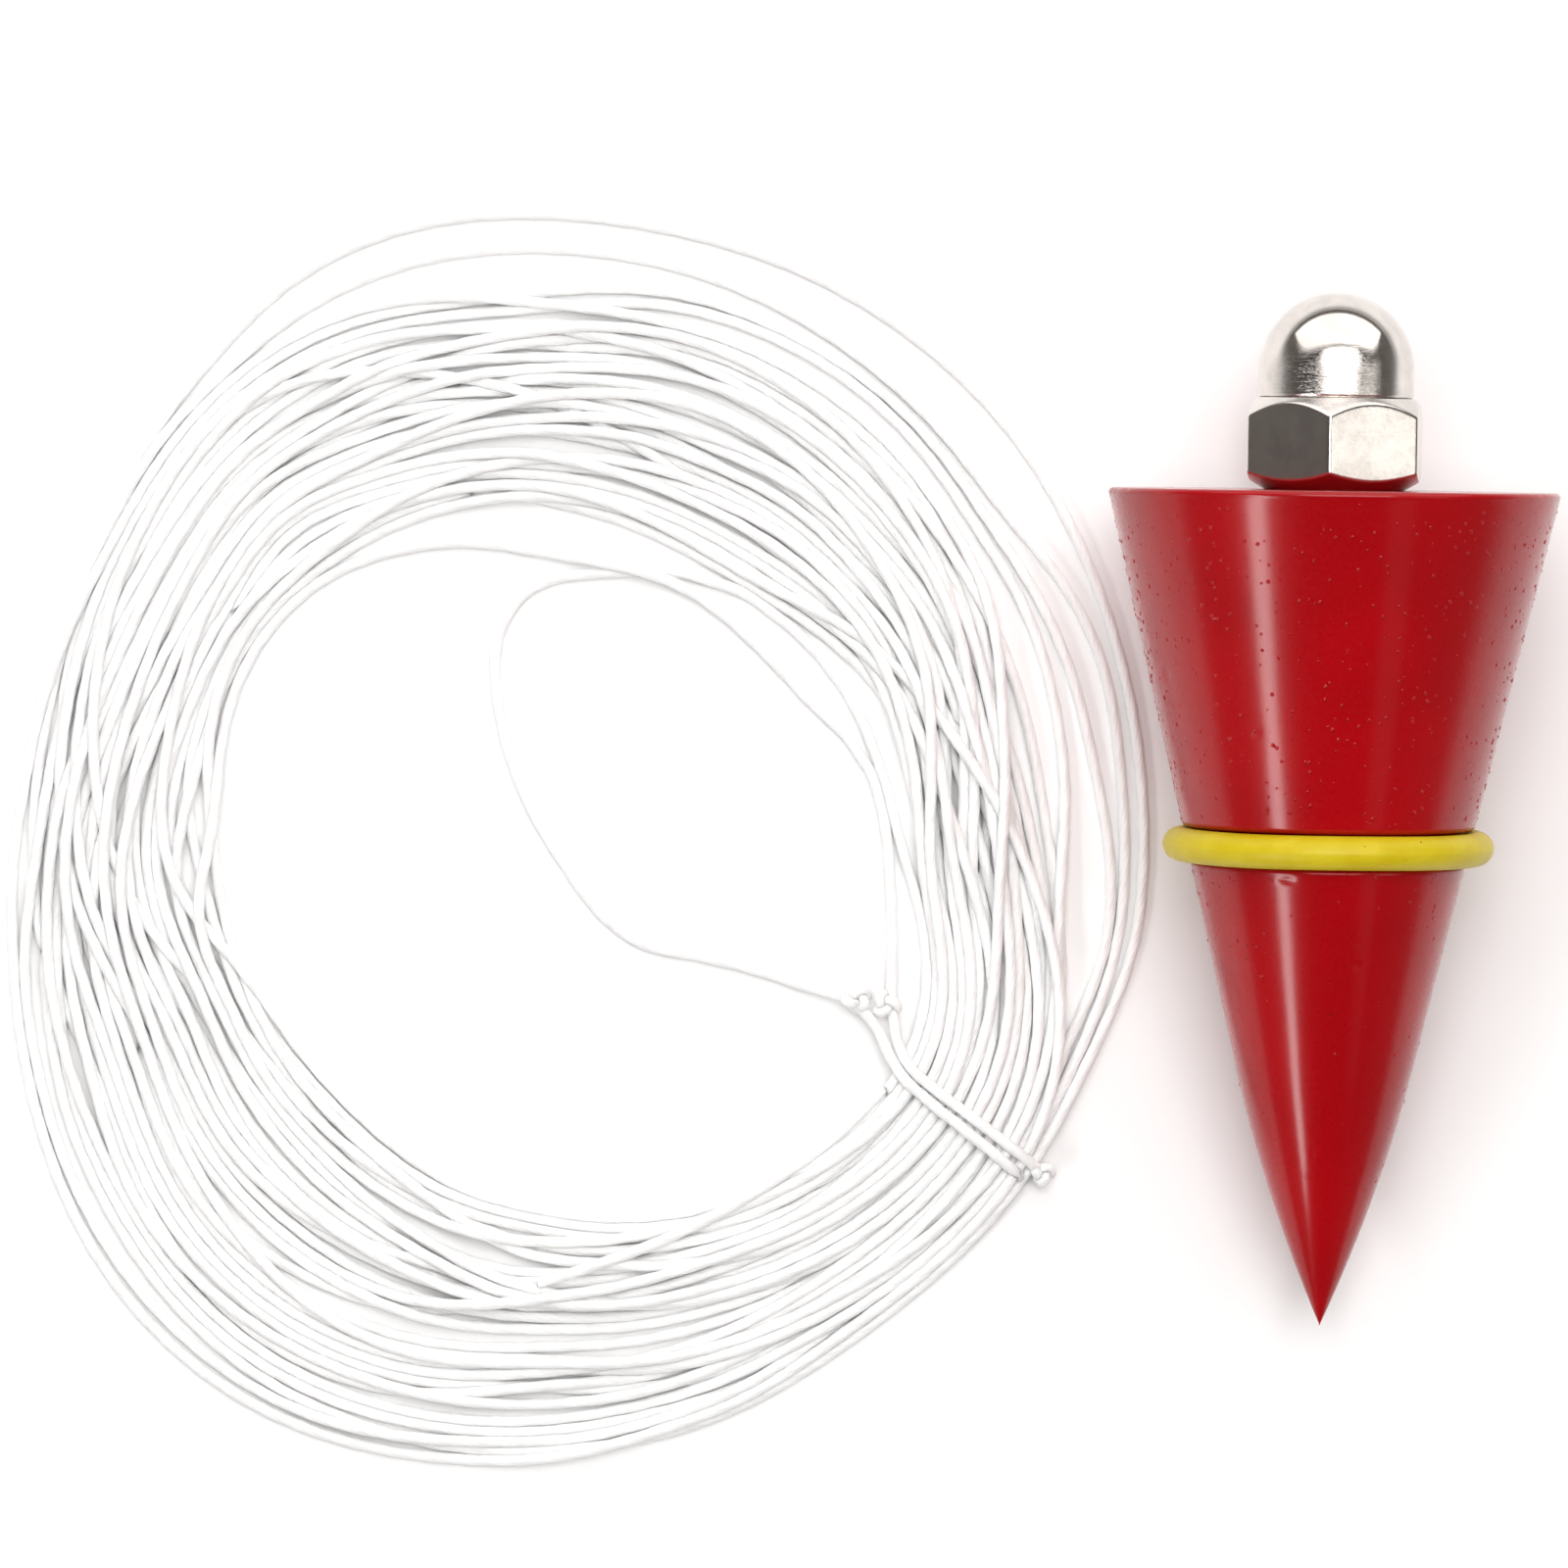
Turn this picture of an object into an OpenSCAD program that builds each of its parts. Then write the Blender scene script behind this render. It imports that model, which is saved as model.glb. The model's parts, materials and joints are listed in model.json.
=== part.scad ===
// A steel plumb bob on its side, with its cap nut screwed home, and its coil of nylon line beside it.
// +Z is up from the surface it lies on, +Y runs from the point to the nut, and the origin is under
// the middle of the bob.

/* [Bob] */
// Diameter across the rim before its edge is rounded
rim_d = 45.4; // [44:0.1:46]
// Length from the flat top to the point
bob_h = 84; // [80:1:90]
// Half angle of the straight taper
taper_angle = 13.4; // [12.8:0.1:13.6]
// Distance from the flat top to where the taper curves in to the point
nose_start = 58; // [50:1:60]
// Radius on the edge of the rim
rim_round = 0.5; // [0.3:0.1:0.8]
// Depth of the threaded hole in the flat top
tapped_depth = 16; // [13:1:20]

/* [O-ring] */
// Thickness of the ring's round section
ring_section = 3.4; // [3.2:0.1:3.6]
// Distance from the flat top to the middle of the ring
ring_down = 35.7; // [34:0.1:37]
// Radius from the bob's axis to the middle of the section
ring_centre_r = 14.9; // [14.8:0.1:15]
// Width of the groove that it sits in
groove_w = 3.7; // [3.7:0.1:4]
// How far the stretched ring is pressed into the floor of its groove
ring_squeeze = 0.05; // [0.02:0.01:0.08]

/* [Cap nut] */
// Thread size of the stud and the nut
thread_d = 10; // [10:10]
// Advance of the thread for one turn
thread_pitch = 1.5; // [1.5:1.5]
// Radial clearance between the thread's plain stand-ins
thread_gap = 0.05; // [0.02:0.01:0.1]
// Length of stud that stands above the bob
stud_up = 12; // [10:0.5:12]
// Width of the hexagon across its flats
across_flats = 17; // [16:1:18]
// Height of the hexagon
hex_h = 9.2; // [8:0.1:10]
// Turn of the hexagon about its axis when it is tight
hex_turn = 23; // [0:1:59]
// Outside radius of the dome
dome_r = 7.8; // [7.6:0.1:8]
// Thickness of the dome's pressed wall
dome_wall = 0.9; // [0.7:0.1:1]
// Straight part of the dome above the hexagon
dome_straight = 2.8; // [2.5:0.1:4]
// Depth of the seat in the hexagon that the dome is welded in
seat_h = 0.6; // [0.4:0.1:0.8]
// Diameter of the hole that the line hangs from
line_hole_d = 2; // [1.6:0.1:2.5]

/* [Line] */
// Diameter of the line
line_d = 1.1; // [1:0.1:1.2]
// Height of the coil where it is spread out
coil_h = 2.8; // [2.5:0.1:3.2]
// Height of the coil where it is tied
tied_h = 3.6; // [3.4:0.1:3.8]

/* [Hidden] */
$fn = 96;

// The bob rests on its rim and its ring, which sets how far its axis leans off the surface.
ring_r = ring_section / 2;
rim_arc_r = rim_d / 2 - rim_round;
rest_run = ring_down - rim_round;
rest_drop = rim_arc_r - ring_centre_r;
lean = atan2(rest_drop, rest_run) + asin((rim_round - ring_r) / norm([rest_run, rest_drop]));
axis_z = rim_round * sin(lean) + rim_arc_r * cos(lean) + rim_round;
dome_centre = hex_h + dome_straight;
axis_y = ((bob_h - dome_centre) * cos(lean) - dome_r) / 2;

groove_floor_r = ring_centre_r - ring_r + ring_squeeze;
thread_r = thread_d / 2;
mouth_chamfer = 0.6;
hex_corner_r = across_flats / 2 / cos(30);
hex_top_r = across_flats / 2 - 0.55;
hex_top_angle = 45;
hex_bottom_r = across_flats / 2 - 1.5;
hex_bottom_angle = 31;
hole_edge = 0.15;

// Radius of the straight taper at a distance down from the flat top
function taper_r(down) = rim_d / 2 - down * tan(taper_angle);

// Points of an arc, from angle a to angle b
function arc(centre, r, a, b, steps) =
    [for (i = [0:steps]) centre + r * [cos(a + (b - a) * i / steps), sin(a + (b - a) * i / steps)]];

// The nose is the one arc that leaves the taper smoothly and ends on the axis.
nose_from = [taper_r(nose_start), -nose_start];
nose_run = [0, -bob_h] - nose_from;
nose_inward = [-cos(taper_angle), sin(taper_angle)];
nose_arc_r = nose_run * nose_run / (2 * nose_run * nose_inward);
nose_centre = nose_from + nose_arc_r * nose_inward;
nose_end_angle = atan2(-bob_h - nose_centre.y, -nose_centre.x);

// Everything on the bob is drawn upright, with z = 0 at the flat top, and then laid on its side.
module laid() {
    translate([0, axis_y, axis_z])
        rotate([lean - 90, 0, 0])
            children();
}

module bob_outline() {
    groove_top = ring_down - groove_w / 2;
    groove_end = ring_down + groove_w / 2;
    polygon(concat(
        [[0, 0]],
        arc([rim_arc_r, -rim_round], rim_round, 90, -taper_angle, 8),
        [[taper_r(groove_top), -groove_top], [groove_floor_r, -groove_top]],
        [[groove_floor_r, -groove_end], [taper_r(groove_end), -groove_end]],
        arc(nose_centre, nose_arc_r, -taper_angle, nose_end_angle, 16)
    ));
}

module bob_body() {
    color("firebrick")
        laid()
            difference() {
                rotate_extrude() bob_outline();
                translate([0, 0, -tapped_depth])
                    cylinder(h = tapped_depth + 1, r = thread_r);
                translate([0, 0, -mouth_chamfer])
                    cylinder(h = 2 * mouth_chamfer, r1 = thread_r, r2 = thread_r + 2 * mouth_chamfer);
            }
}

module o_ring() {
    color("gold")
        laid()
            translate([0, 0, -ring_down])
                rotate_extrude()
                    translate([ring_centre_r, 0])
                        circle(r = ring_r, $fn = 48);
}

// Turned rod with a chamfer at each end
module rod(r, length, chamfer) {
    rotate_extrude()
        polygon([[0, 0], [r - chamfer, 0], [r, chamfer], [r, length - chamfer],
                 [r - chamfer, length], [0, length]]);
}

module stud() {
    bottom_gap = 1;
    color("silver")
        laid()
            translate([0, 0, bottom_gap - tapped_depth])
                rod(thread_r - thread_gap, stud_up + tapped_depth - bottom_gap, 0.8);
}

// Both ends of the hexagon are chamfered outwards from a round face, the lower one more deeply.
module nut_hex() {
    wide_r = hex_corner_r + 0.5;
    bottom_h = (wide_r - hex_bottom_r) * tan(hex_bottom_angle);
    top_h = (wide_r - hex_top_r) * tan(hex_top_angle);
    color("gainsboro")
        laid()
            difference() {
                intersection() {
                    rotate(hex_turn) cylinder(h = hex_h, r = hex_corner_r, $fn = 6);
                    rotate_extrude()
                        polygon([[0, 0], [hex_bottom_r, 0], [wide_r, bottom_h],
                                 [wide_r, hex_h - top_h], [hex_top_r, hex_h], [0, hex_h]]);
                }
                translate([0, 0, -1])
                    cylinder(h = hex_h + 2, r = thread_r);
                translate([0, 0, -mouth_chamfer])
                    cylinder(h = 2 * mouth_chamfer, r1 = thread_r + 2 * mouth_chamfer, r2 = thread_r);
                translate([0, 0, hex_h - seat_h])
                    cylinder(h = seat_h + 1, r = dome_r);
            }
}

module nut_dome() {
    inner_r = dome_r - dome_wall;
    hole_r = line_hole_d / 2;
    outer_hole_z = sqrt(dome_r * dome_r - pow(hole_r + hole_edge, 2));
    wall_top_z = outer_hole_z - hole_edge;
    inner_hole_z = sqrt(inner_r * inner_r - hole_r * hole_r);
    skirt = dome_straight + seat_h;
    outer_from = atan2(outer_hole_z, hole_r + hole_edge);
    inner_to = atan2(inner_hole_z, hole_r);
    color("gainsboro")
        laid()
            translate([0, 0, dome_centre])
                rotate_extrude()
                    polygon(concat(
                        [[hole_r, inner_hole_z], [hole_r, wall_top_z]],
                        arc([0, 0], dome_r, outer_from, 0, 24),
                        [[dome_r, -skirt], [inner_r, -skirt]],
                        arc([0, 0], inner_r, 0, inner_to, 24)
                    ));
}

// The coil lies round this point. Its inner and outer radii are given every 30 degrees, counted
// from +X, and a periodic cubic joins them.
coil_centre = [-75, -3];
coil_inner = [31, 30.5, 30.5, 34, 38, 39.5, 36, 34.5, 34, 35.5, 38.5, 39.5];
coil_outer = [50.5, 52, 56, 61, 63, 59, 58, 61, 65, 61.5, 57, 55];
tie_angle = 324;
tie_reach = 14;
coil_stations = 48;

function cubic(a, b, c, d, t) =
    b + t / 2 * (c - a + t * (2 * a - 5 * b + 4 * c - d + t * (3 * (b - c) + d - a)));

function around(radii, angle) =
    let (count = len(radii), step = 360 / count, turn = (angle % 360 + 360) % 360)
    let (i = floor(turn / step), t = turn / step - i)
    cubic(radii[(i + count - 1) % count], radii[i], radii[(i + 1) % count], radii[(i + 2) % count], t);

// Share of the tie's grip at an angle round the coil, from 1 at the tie to 0 away from it
function grip(angle) =
    let (off = abs((angle - tie_angle + 540) % 360 - 180))
    exp(-pow(off / tie_reach, 2));

// Outline of the coil's section at an angle, as [distance from the centre, height]
function coil_section(angle) =
    let (inner = around(coil_inner, angle), outer = around(coil_outer, angle), w = outer - inner)
    let (low = line_d * grip(angle), h = coil_h + (tied_h - coil_h) * grip(angle))
    [[inner + 0.1 * w, low], [outer - 0.1 * w, low], [outer, low + 0.35 * h],
     [outer - 0.12 * w, low + 0.8 * h], [outer - 0.4 * w, low + h], [inner + 0.4 * w, low + h],
     [inner + 0.12 * w, low + 0.8 * h], [inner, low + 0.35 * h]];

function coil_point(angle, r, z) =
    [coil_centre.x + r * cos(angle), coil_centre.y + r * sin(angle), z];

// Side faces between rings of points, which run round and close on themselves if closed is true
function tube_faces(rings, sides, closed) =
    [for (i = [0:rings - (closed ? 1 : 2)], j = [0:sides - 1])
        let (k = (i + 1) % rings, n = (j + 1) % sides)
        each [[i * sides + j, i * sides + n, k * sides + n], [i * sides + j, k * sides + n, k * sides + j]]];

function end_faces(rings, sides) =
    [[for (j = [sides - 1:-1:0]) j], [for (j = [0:sides - 1]) (rings - 1) * sides + j]];

module line_coil() {
    points = [for (i = [0:coil_stations - 1])
        let (angle = -360 * i / coil_stations)
        each [for (p = coil_section(angle)) coil_point(angle, p[0], p[1])]];
    color("whitesmoke")
        polyhedron(points, tube_faces(coil_stations, 8, true));
}

// A route's hand-laid points are joined by a cubic with the same number of steps in each span.
function spline(route, steps) =
    let (last = len(route) - 1)
    [for (i = [0:last - 1], s = [0:steps - 1])
        cubic(route[max(i - 1, 0)], route[i], route[i + 1], route[min(i + 2, last)], s / steps),
     route[last]];

function unit(v) = v / norm(v);

// Ring of points round a path's point, square to the path
function ring_points(centre, along, across, r, sides) =
    let (side = unit(cross(along, across)), up = cross(side, along))
    [for (j = [0:sides - 1]) centre + r * (cos(360 * j / sides) * side + sin(360 * j / sides) * up)];

module cord(path, r, across = [0, 0, 1]) {
    last = len(path) - 1;
    points = [for (i = [0:last])
        each ring_points(path[i], unit(path[min(i + 1, last)] - path[max(i - 1, 0)]), across, r, 8)];
    color("whitesmoke")
        polyhedron(points, concat(tube_faces(last + 1, 8, false), end_faces(last + 1, 8)));
}

line_r = line_d / 2;
loop_route = [[-54, 22, 2.4], [-59, 24.5, 1.4], [-66, 26.2, 0.6], [-73, 25.9, 0.6], [-79, 25, 0.6],
              [-82.6, 22.5, 0.6], [-84.4, 18.5, 0.6], [-84.5, 14, 0.6], [-83.2, 7.5, 0.6],
              [-80.6, 1, 0.6], [-77, -4.8, 0.6], [-73, -10, 0.6], [-68.5, -13, 0.6],
              [-63, -14, 0.6], [-57, -15.4, 0.6], [-52, -17, 0.8], [-48.5, -17.8, 1.4]];
strand_route = [[-46.5, 9, 1.4], [-44.8, 5, 0.7], [-43.7, 0, 0.6], [-43.3, -6, 0.6],
                [-43.1, -12, 0.7], [-43.2, -16.5, 1.4]];
tail_route = [[-44.6, -28.2, 5.4], [-49, -32.4, 4.8], [-54.5, -36.6, 3.9], [-61, -40.6, 3.6],
              [-68, -44, 3.5], [-75, -46.6, 3.5], [-79, -47.8, 3.4]];
tie_bottom_in = [-43.6, -25.4, 1.4];

module line_loop() cord(spline(loop_route, 2), line_r);

module line_strand() cord(spline(strand_route, 2), line_r);

module line_tail() cord(spline(tail_route, 2), line_r);

// The knot on the loop, the doubled line below it, and the small knot at the outside of the tie
module line_knots() {
    color("whitesmoke") {
        hull() {
            translate([-47.4, -18, 1.7]) sphere(d = 3.4, $fn = 32);
            translate([-45.2, -19, 1.8]) sphere(d = 3.2, $fn = 32);
            translate([-42.6, -18.4, 1.6]) sphere(d = 2.6, $fn = 32);
        }
        translate(coil_point(tie_angle, around(coil_outer, tie_angle) + 0.7, 3.2))
            sphere(d = 2.8, $fn = 32);
    }
}

// The tie goes once round the coil in an upright plane.
tie_round = [[0, 0.6], [0.5, 0.6], [1, 0.6], [1.09, 2.4], [0.96, 4.9], [0.5, 5.3], [0.04, 4.9], [-0.09, 2.4]];

module line_tie() {
    inner = around(coil_inner, tie_angle);
    w = around(coil_outer, tie_angle) - inner;
    sides = 8;
    last = len(tie_round) - 1;
    path = [for (p = tie_round) coil_point(tie_angle, inner + p[0] * w, p[1])];
    round_coil = [-sin(tie_angle), cos(tie_angle), 0];
    points = [for (i = [0:last])
        let (along = unit(path[(i + 1) % (last + 1)] - path[(i + last) % (last + 1)]))
        each ring_points(path[i], along, round_coil, line_r, sides)];
    color("whitesmoke")
        polyhedron(points, tube_faces(last + 1, sides, true));
    lead = [[-43.8, -19.6, 1.6], [-43.4, -22.5, 1.5], tie_bottom_in, path[last]];
    cord(spline(lead, 2), line_r * 1.5);
}

bob_body();
o_ring();
stud();
nut_hex();
nut_dome();
line_coil();
line_loop();
line_strand();
line_knots();
line_tie();
line_tail();
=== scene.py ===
"""A painted plumb bob with a cap nut, a rubber ring and a tied coil of line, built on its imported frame.

Lengths in this file are millimetres unless a name ends in _m; meshes are written in metres.
"""

import json
import math

import bpy
import numpy as np
from mathutils import Matrix

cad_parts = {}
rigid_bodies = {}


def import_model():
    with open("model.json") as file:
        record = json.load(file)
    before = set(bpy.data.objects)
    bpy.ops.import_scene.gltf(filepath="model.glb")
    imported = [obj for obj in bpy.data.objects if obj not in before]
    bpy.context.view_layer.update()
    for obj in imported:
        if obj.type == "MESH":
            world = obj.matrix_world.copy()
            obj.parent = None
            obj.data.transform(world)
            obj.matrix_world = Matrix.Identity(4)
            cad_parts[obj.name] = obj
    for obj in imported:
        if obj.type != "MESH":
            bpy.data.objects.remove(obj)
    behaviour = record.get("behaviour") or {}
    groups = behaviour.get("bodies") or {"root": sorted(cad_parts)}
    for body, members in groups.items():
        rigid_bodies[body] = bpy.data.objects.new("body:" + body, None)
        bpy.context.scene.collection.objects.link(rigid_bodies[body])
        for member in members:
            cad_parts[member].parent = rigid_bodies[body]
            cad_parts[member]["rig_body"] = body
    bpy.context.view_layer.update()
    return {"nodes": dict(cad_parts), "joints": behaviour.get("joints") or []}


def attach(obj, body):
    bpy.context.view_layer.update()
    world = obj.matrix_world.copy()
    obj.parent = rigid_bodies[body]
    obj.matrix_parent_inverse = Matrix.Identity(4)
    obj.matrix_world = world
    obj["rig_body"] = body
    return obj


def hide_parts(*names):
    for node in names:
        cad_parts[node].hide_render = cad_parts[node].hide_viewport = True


bl_info = {
    "name": "Plumb Bob Set",
    "version": (1, 0, 0),
    "blender": (4, 5, 0),
    "location": "3D View > Sidebar > Plumb Bob",
    "description": "Builds a plumb bob, its cap nut, its rubber ring and its coil of line",
    "category": "Object",
}

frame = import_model()
MM = 0.001

# The bob's own axis: its start is the middle of the bob's flat top, and it points at the cap nut.
TURN = next(j for j in frame["joints"] if j["name"] == "cap_nut_turn")
TOP_M = np.array(TURN["pos_m"])
AXIS = np.array(TURN["axis"]) / np.linalg.norm(TURN["axis"])
SIDE = np.array([1.0, 0.0, 0.0])
DOWN = np.cross(AXIS, SIDE)

RIM_R = 22.7
BOB_H = 84.0
TAPER = math.radians(13.4)
NOSE_START = 58.0
RIM_ROUND = 0.5
TAPPED_DEPTH = 16.0
GROOVE_DOWN = 35.7
GROOVE_W = 3.7
GROOVE_FLOOR_R = 13.25
THREAD_R = 5.0
THREAD_DEPTH = 0.86
PITCH = 1.5
STUD_UP = 12.0
STUD_LOW = -15.0
HEX_H = 9.2
HEX_FLAT_R = 8.5
HEX_TOP_R = 7.95
HEX_TOP_SLOPE = math.tan(math.radians(45))
HEX_BOTTOM_R = 7.0
HEX_BOTTOM_SLOPE = math.tan(math.radians(31))
HEX_TURN = 23.0
DOME_R = 7.8
DOME_WALL = 0.9
DOME_CENTRE = 12.0
DOME_SEAT = 0.6

COIL_CENTRE = (-75.0, -3.0)
# Inner and outer radius of the bundle every 30 degrees, counted from +X.
COIL_INNER = (31, 30.5, 29.5, 31.5, 35.5, 38.5, 36, 34.5, 34, 35.5, 38.5, 39.5)
COIL_OUTER = (50.5, 52, 56, 61, 63, 59, 58, 61, 65, 61.5, 57, 55)
TIE_ANGLE = 324.0
JOIN_ANGLE = 50.0
LEAVE_ANGLE = 22.8
LOOP = (
    (-43.9, -23.6, 1.5), (-44.3, -21.6, 1.6), (-45.4, -19.4, 1.7), (-47.0, -18.5, 1.7), (-48.6, -17.9, 1.5),
    (-52, -17, 0.8), (-57, -15.4, 0.6), (-63, -14, 0.6), (-68.5, -13, 0.6), (-73, -10, 0.6), (-77, -4.8, 0.6),
    (-80.6, 1, 0.6), (-83.2, 7.5, 0.6), (-84.5, 14, 0.6), (-84.4, 18.5, 0.6), (-82.6, 22.5, 0.6),
    (-79, 25, 0.6),
    (-73, 25.9, 0.6), (-66, 26.2, 0.6), (-59, 24.5, 1.4),
)
STRAND = (
    (-44.8, 5, 0.7), (-43.7, 0, 0.6), (-43.3, -6, 0.6), (-43.1, -12, 0.7), (-43.2, -16.5, 1.4),
    (-43.2, -19.0, 1.7), (-42.9, -21.5, 1.6), (-42.7, -23.6, 1.5),
)
TAIL = (
    (-79, -47.8), (-75, -46.6), (-68, -44), (-61, -40.6), (-54.5, -36.6), (-49, -32.4), (-45.6, -29.2),
)
# Loose turns outside the bundle: the turn's number, its first angle, then its radius every 10 degrees.
STRAYS = (
    (4, 340, (55.2, 56.9, 57.0, 57.4, 58.2, 59.3, 60.9, 62.2, 63.2, 64.1, 64.7, 65.6, 66.9, 67.5, 66.2,
              62.6)),
    (9, 340, (54.4, 55.4, 55.2, 55.3, 56.6, 56.4, 55.0, 56.7, 58.0, 59.6, 61.0, 62.1, 63.2, 63.8, 63.1,
              61.4)),
    (15, 350, (54.0, 53.6, 52.5, 53.0, 53.3, 53.2, 55.2, 56.6, 57.4, 58.6, 58.4)),
    (22, 370, (49.4, 50.4, 51.6, 51.8, 53.8, 55.4, 56.4, 57.0)),
    (26, 190, (58.6, 60.4, 62.6, 64.7, 65.9, 66.1, 64.9, 63.0, 61.4, 58.8)),
    (12, 200, (59.6, 61.6, 63.3, 64.4, 64.6, 63.6, 61.8, 60.4, 58.2)),
)
# Lens-shaped openings in the bundle: middle angle, half length in degrees, share of the way across, width.
OPENINGS = (
    (182, 26, 0.13, 3.4), (262, 13, 0.2, 1.5), (264, 14, 0.8, 1.6), (98, 24, 0.9, 1.4), (133, 14, 0.22, 2.0),
    (224, 26, 0.3, 1.3), (232, 24, 0.62, 1.2), (75, 22, 0.55, 1.0), (60, 15, 0.3, 0.9),
    (206, 16, 0.88, 1.3), (286, 14, 0.6, 1.0), (20, 16, 0.75, 0.9), (118, 18, 0.7, 1.0), (250, 18, 0.46, 0.9),
)
# Radius of the innermost strand by how many degrees are left before it straightens.
LAST_STRAND = ((0, 30.9), (5, 28.6), (10, 27.9), (20, 27.5), (30, 27.6), (40, 28.4), (50, 29.0), (60, 29.2),
               (70, 29.9), (80, 31.6), (90, 34.5), (105, 37.5))


# ---------------------------------------------------------------- shader maths


class Value:
    """A shader socket that can be used in an expression; each operator adds one Math node."""

    def __init__(self, finish, socket):
        self.finish = finish
        self.socket = socket

    def maths(self, operation, *values):
        return self.finish.node("ShaderNodeMath", {"operation": operation}, dict(enumerate(values)))

    def __add__(self, other):
        return self.maths("ADD", self, other)

    def __sub__(self, other):
        return self.maths("SUBTRACT", self, other)

    def __rsub__(self, other):
        return self.maths("SUBTRACT", other, self)

    def __mul__(self, other):
        return self.maths("MULTIPLY", self, other)

    def __truediv__(self, other):
        return self.maths("DIVIDE", self, other)

    def __rtruediv__(self, other):
        return self.maths("DIVIDE", other, self)

    def __pow__(self, other):
        return self.maths("POWER", self, other)

    def __neg__(self):
        return self.maths("MULTIPLY", self, -1)

    __radd__ = __add__
    __rmul__ = __mul__

    def size(self):
        return self.maths("ABSOLUTE", self)

    def sine(self):
        return self.maths("SINE", self)

    def rise(self, low, high):
        """0 below low, 1 above high, with a soft step between them."""
        settings = {"interpolation_type": "SMOOTHSTEP"}
        return self.finish.node("ShaderNodeMapRange", settings, {0: self, 1: low, 2: high, 3: 0.0, 4: 1.0})


class Finish:
    """A material being made: its nodes, its surface shader and the few kinds of pattern it uses."""

    def __init__(self, name, **constants):
        self.material = bpy.data.materials.new(name)
        self.material.use_nodes = True
        self.tree = self.material.node_tree
        self.tree.nodes.clear()
        self.surface = self.tree.nodes.new("ShaderNodeBsdfPrincipled")
        for socket, value in constants.items():
            self.surface.inputs[socket.replace("_", " ")].default_value = value
        output = self.tree.nodes.new("ShaderNodeOutputMaterial")
        self.tree.links.new(self.surface.outputs[0], output.inputs["Surface"])

    def node(self, kind, settings, sockets, output=0):
        node = self.tree.nodes.new(kind)
        for key, value in settings.items():
            if key == "stops":
                ramp = node.color_ramp
                while len(ramp.elements) < len(value):
                    ramp.elements.new(0.5)
                for element, (place, colour) in zip(ramp.elements, value):
                    element.position = place
                    element.color = colour
            else:
                setattr(node, key, value)
        for key, value in sockets.items():
            if isinstance(value, Value):
                self.tree.links.new(value.socket, node.inputs[key])
            else:
                node.inputs[key].default_value = value
        return Value(self, node.outputs[output])

    def attribute(self, name):
        return self.node("ShaderNodeAttribute", {"attribute_name": name}, {}, "Vector")

    def parts(self, vector):
        split = self.node("ShaderNodeSeparateXYZ", {}, {0: vector}).socket.node
        return [Value(self, socket) for socket in split.outputs]

    def vector(self, x, y, z):
        return self.node("ShaderNodeCombineXYZ", {}, {0: x, 1: y, 2: z})

    def noise(self, vector, scale, detail=3.0, roughness=0.5):
        sockets = {"Vector": vector, "Scale": scale, "Detail": detail, "Roughness": roughness}
        return self.node("ShaderNodeTexNoise", {}, sockets)

    def cells(self, vector, scale, output="Distance"):
        return self.node("ShaderNodeTexVoronoi", {}, {"Vector": vector, "Scale": scale}, output)

    def mix(self, factor, a, b):
        settings = {"data_type": "RGBA", "clamp_factor": True}
        return self.node("ShaderNodeMix", settings, {0: factor, 6: a, 7: b}, 2)

    def feed(self, **sockets):
        for name, value in sockets.items():
            self.tree.links.new(value.socket, self.surface.inputs[name.replace("_", " ")])

    def bump(self, height, distance, strength=1.0):
        sockets = {"Height": height, "Distance": distance, "Strength": strength}
        self.feed(Normal=self.node("ShaderNodeBump", {}, sockets))


def rgb(colour, share=1.0):
    return (colour[0] * share, colour[1] * share, colour[2] * share, 1.0)


def paint_finish(colour):
    """Thick glossy enamel on turned steel, with grit and pinholes under the gloss; the pinholes' dark colour is
    painted shade.
    """
    made = Finish("red_enamel", Coat_Weight=0.8, Coat_Roughness=0.17, Coat_IOR=1.4, Specular_IOR_Level=0.1)
    place = made.attribute("local")
    broad = made.noise(place, 0.06, 2.0)
    fine = made.noise(place, 2.6, 4.0, 0.6)
    dots = made.cells(place, 0.6)
    pick = made.cells(place, 0.6, "Color")
    chance = made.parts(pick)[0]
    pinhole_and_shade = (1 - dots.rise(0.05, 0.11)) * chance.rise(0.955, 0.965)
    blot = made.noise(place, 0.9, 2.0)
    base = made.mix(broad.rise(0.3, 0.7), rgb(colour, 0.9), rgb(colour, 1.08))
    # painted shade: the pinholes are darkened as if shade filled the pits; their roughness and bump are the pits
    # themselves
    base = made.mix(pinhole_and_shade * 0.55, base, rgb((0.05, 0.003, 0.004)))
    made.feed(Base_Color=base, Roughness=0.27 + 0.16 * fine.rise(0.35, 0.75) + 0.2 * pinhole_and_shade)
    swell = made.noise(place, 0.55, 2.0)
    orange_peel = made.noise(place, 1.7, 2.0)
    made.bump(swell * 0.012 + fine * 0.006 + blot * 0.01 + orange_peel * 0.006 - pinhole_and_shade * 0.08, MM)
    return made.material


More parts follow.
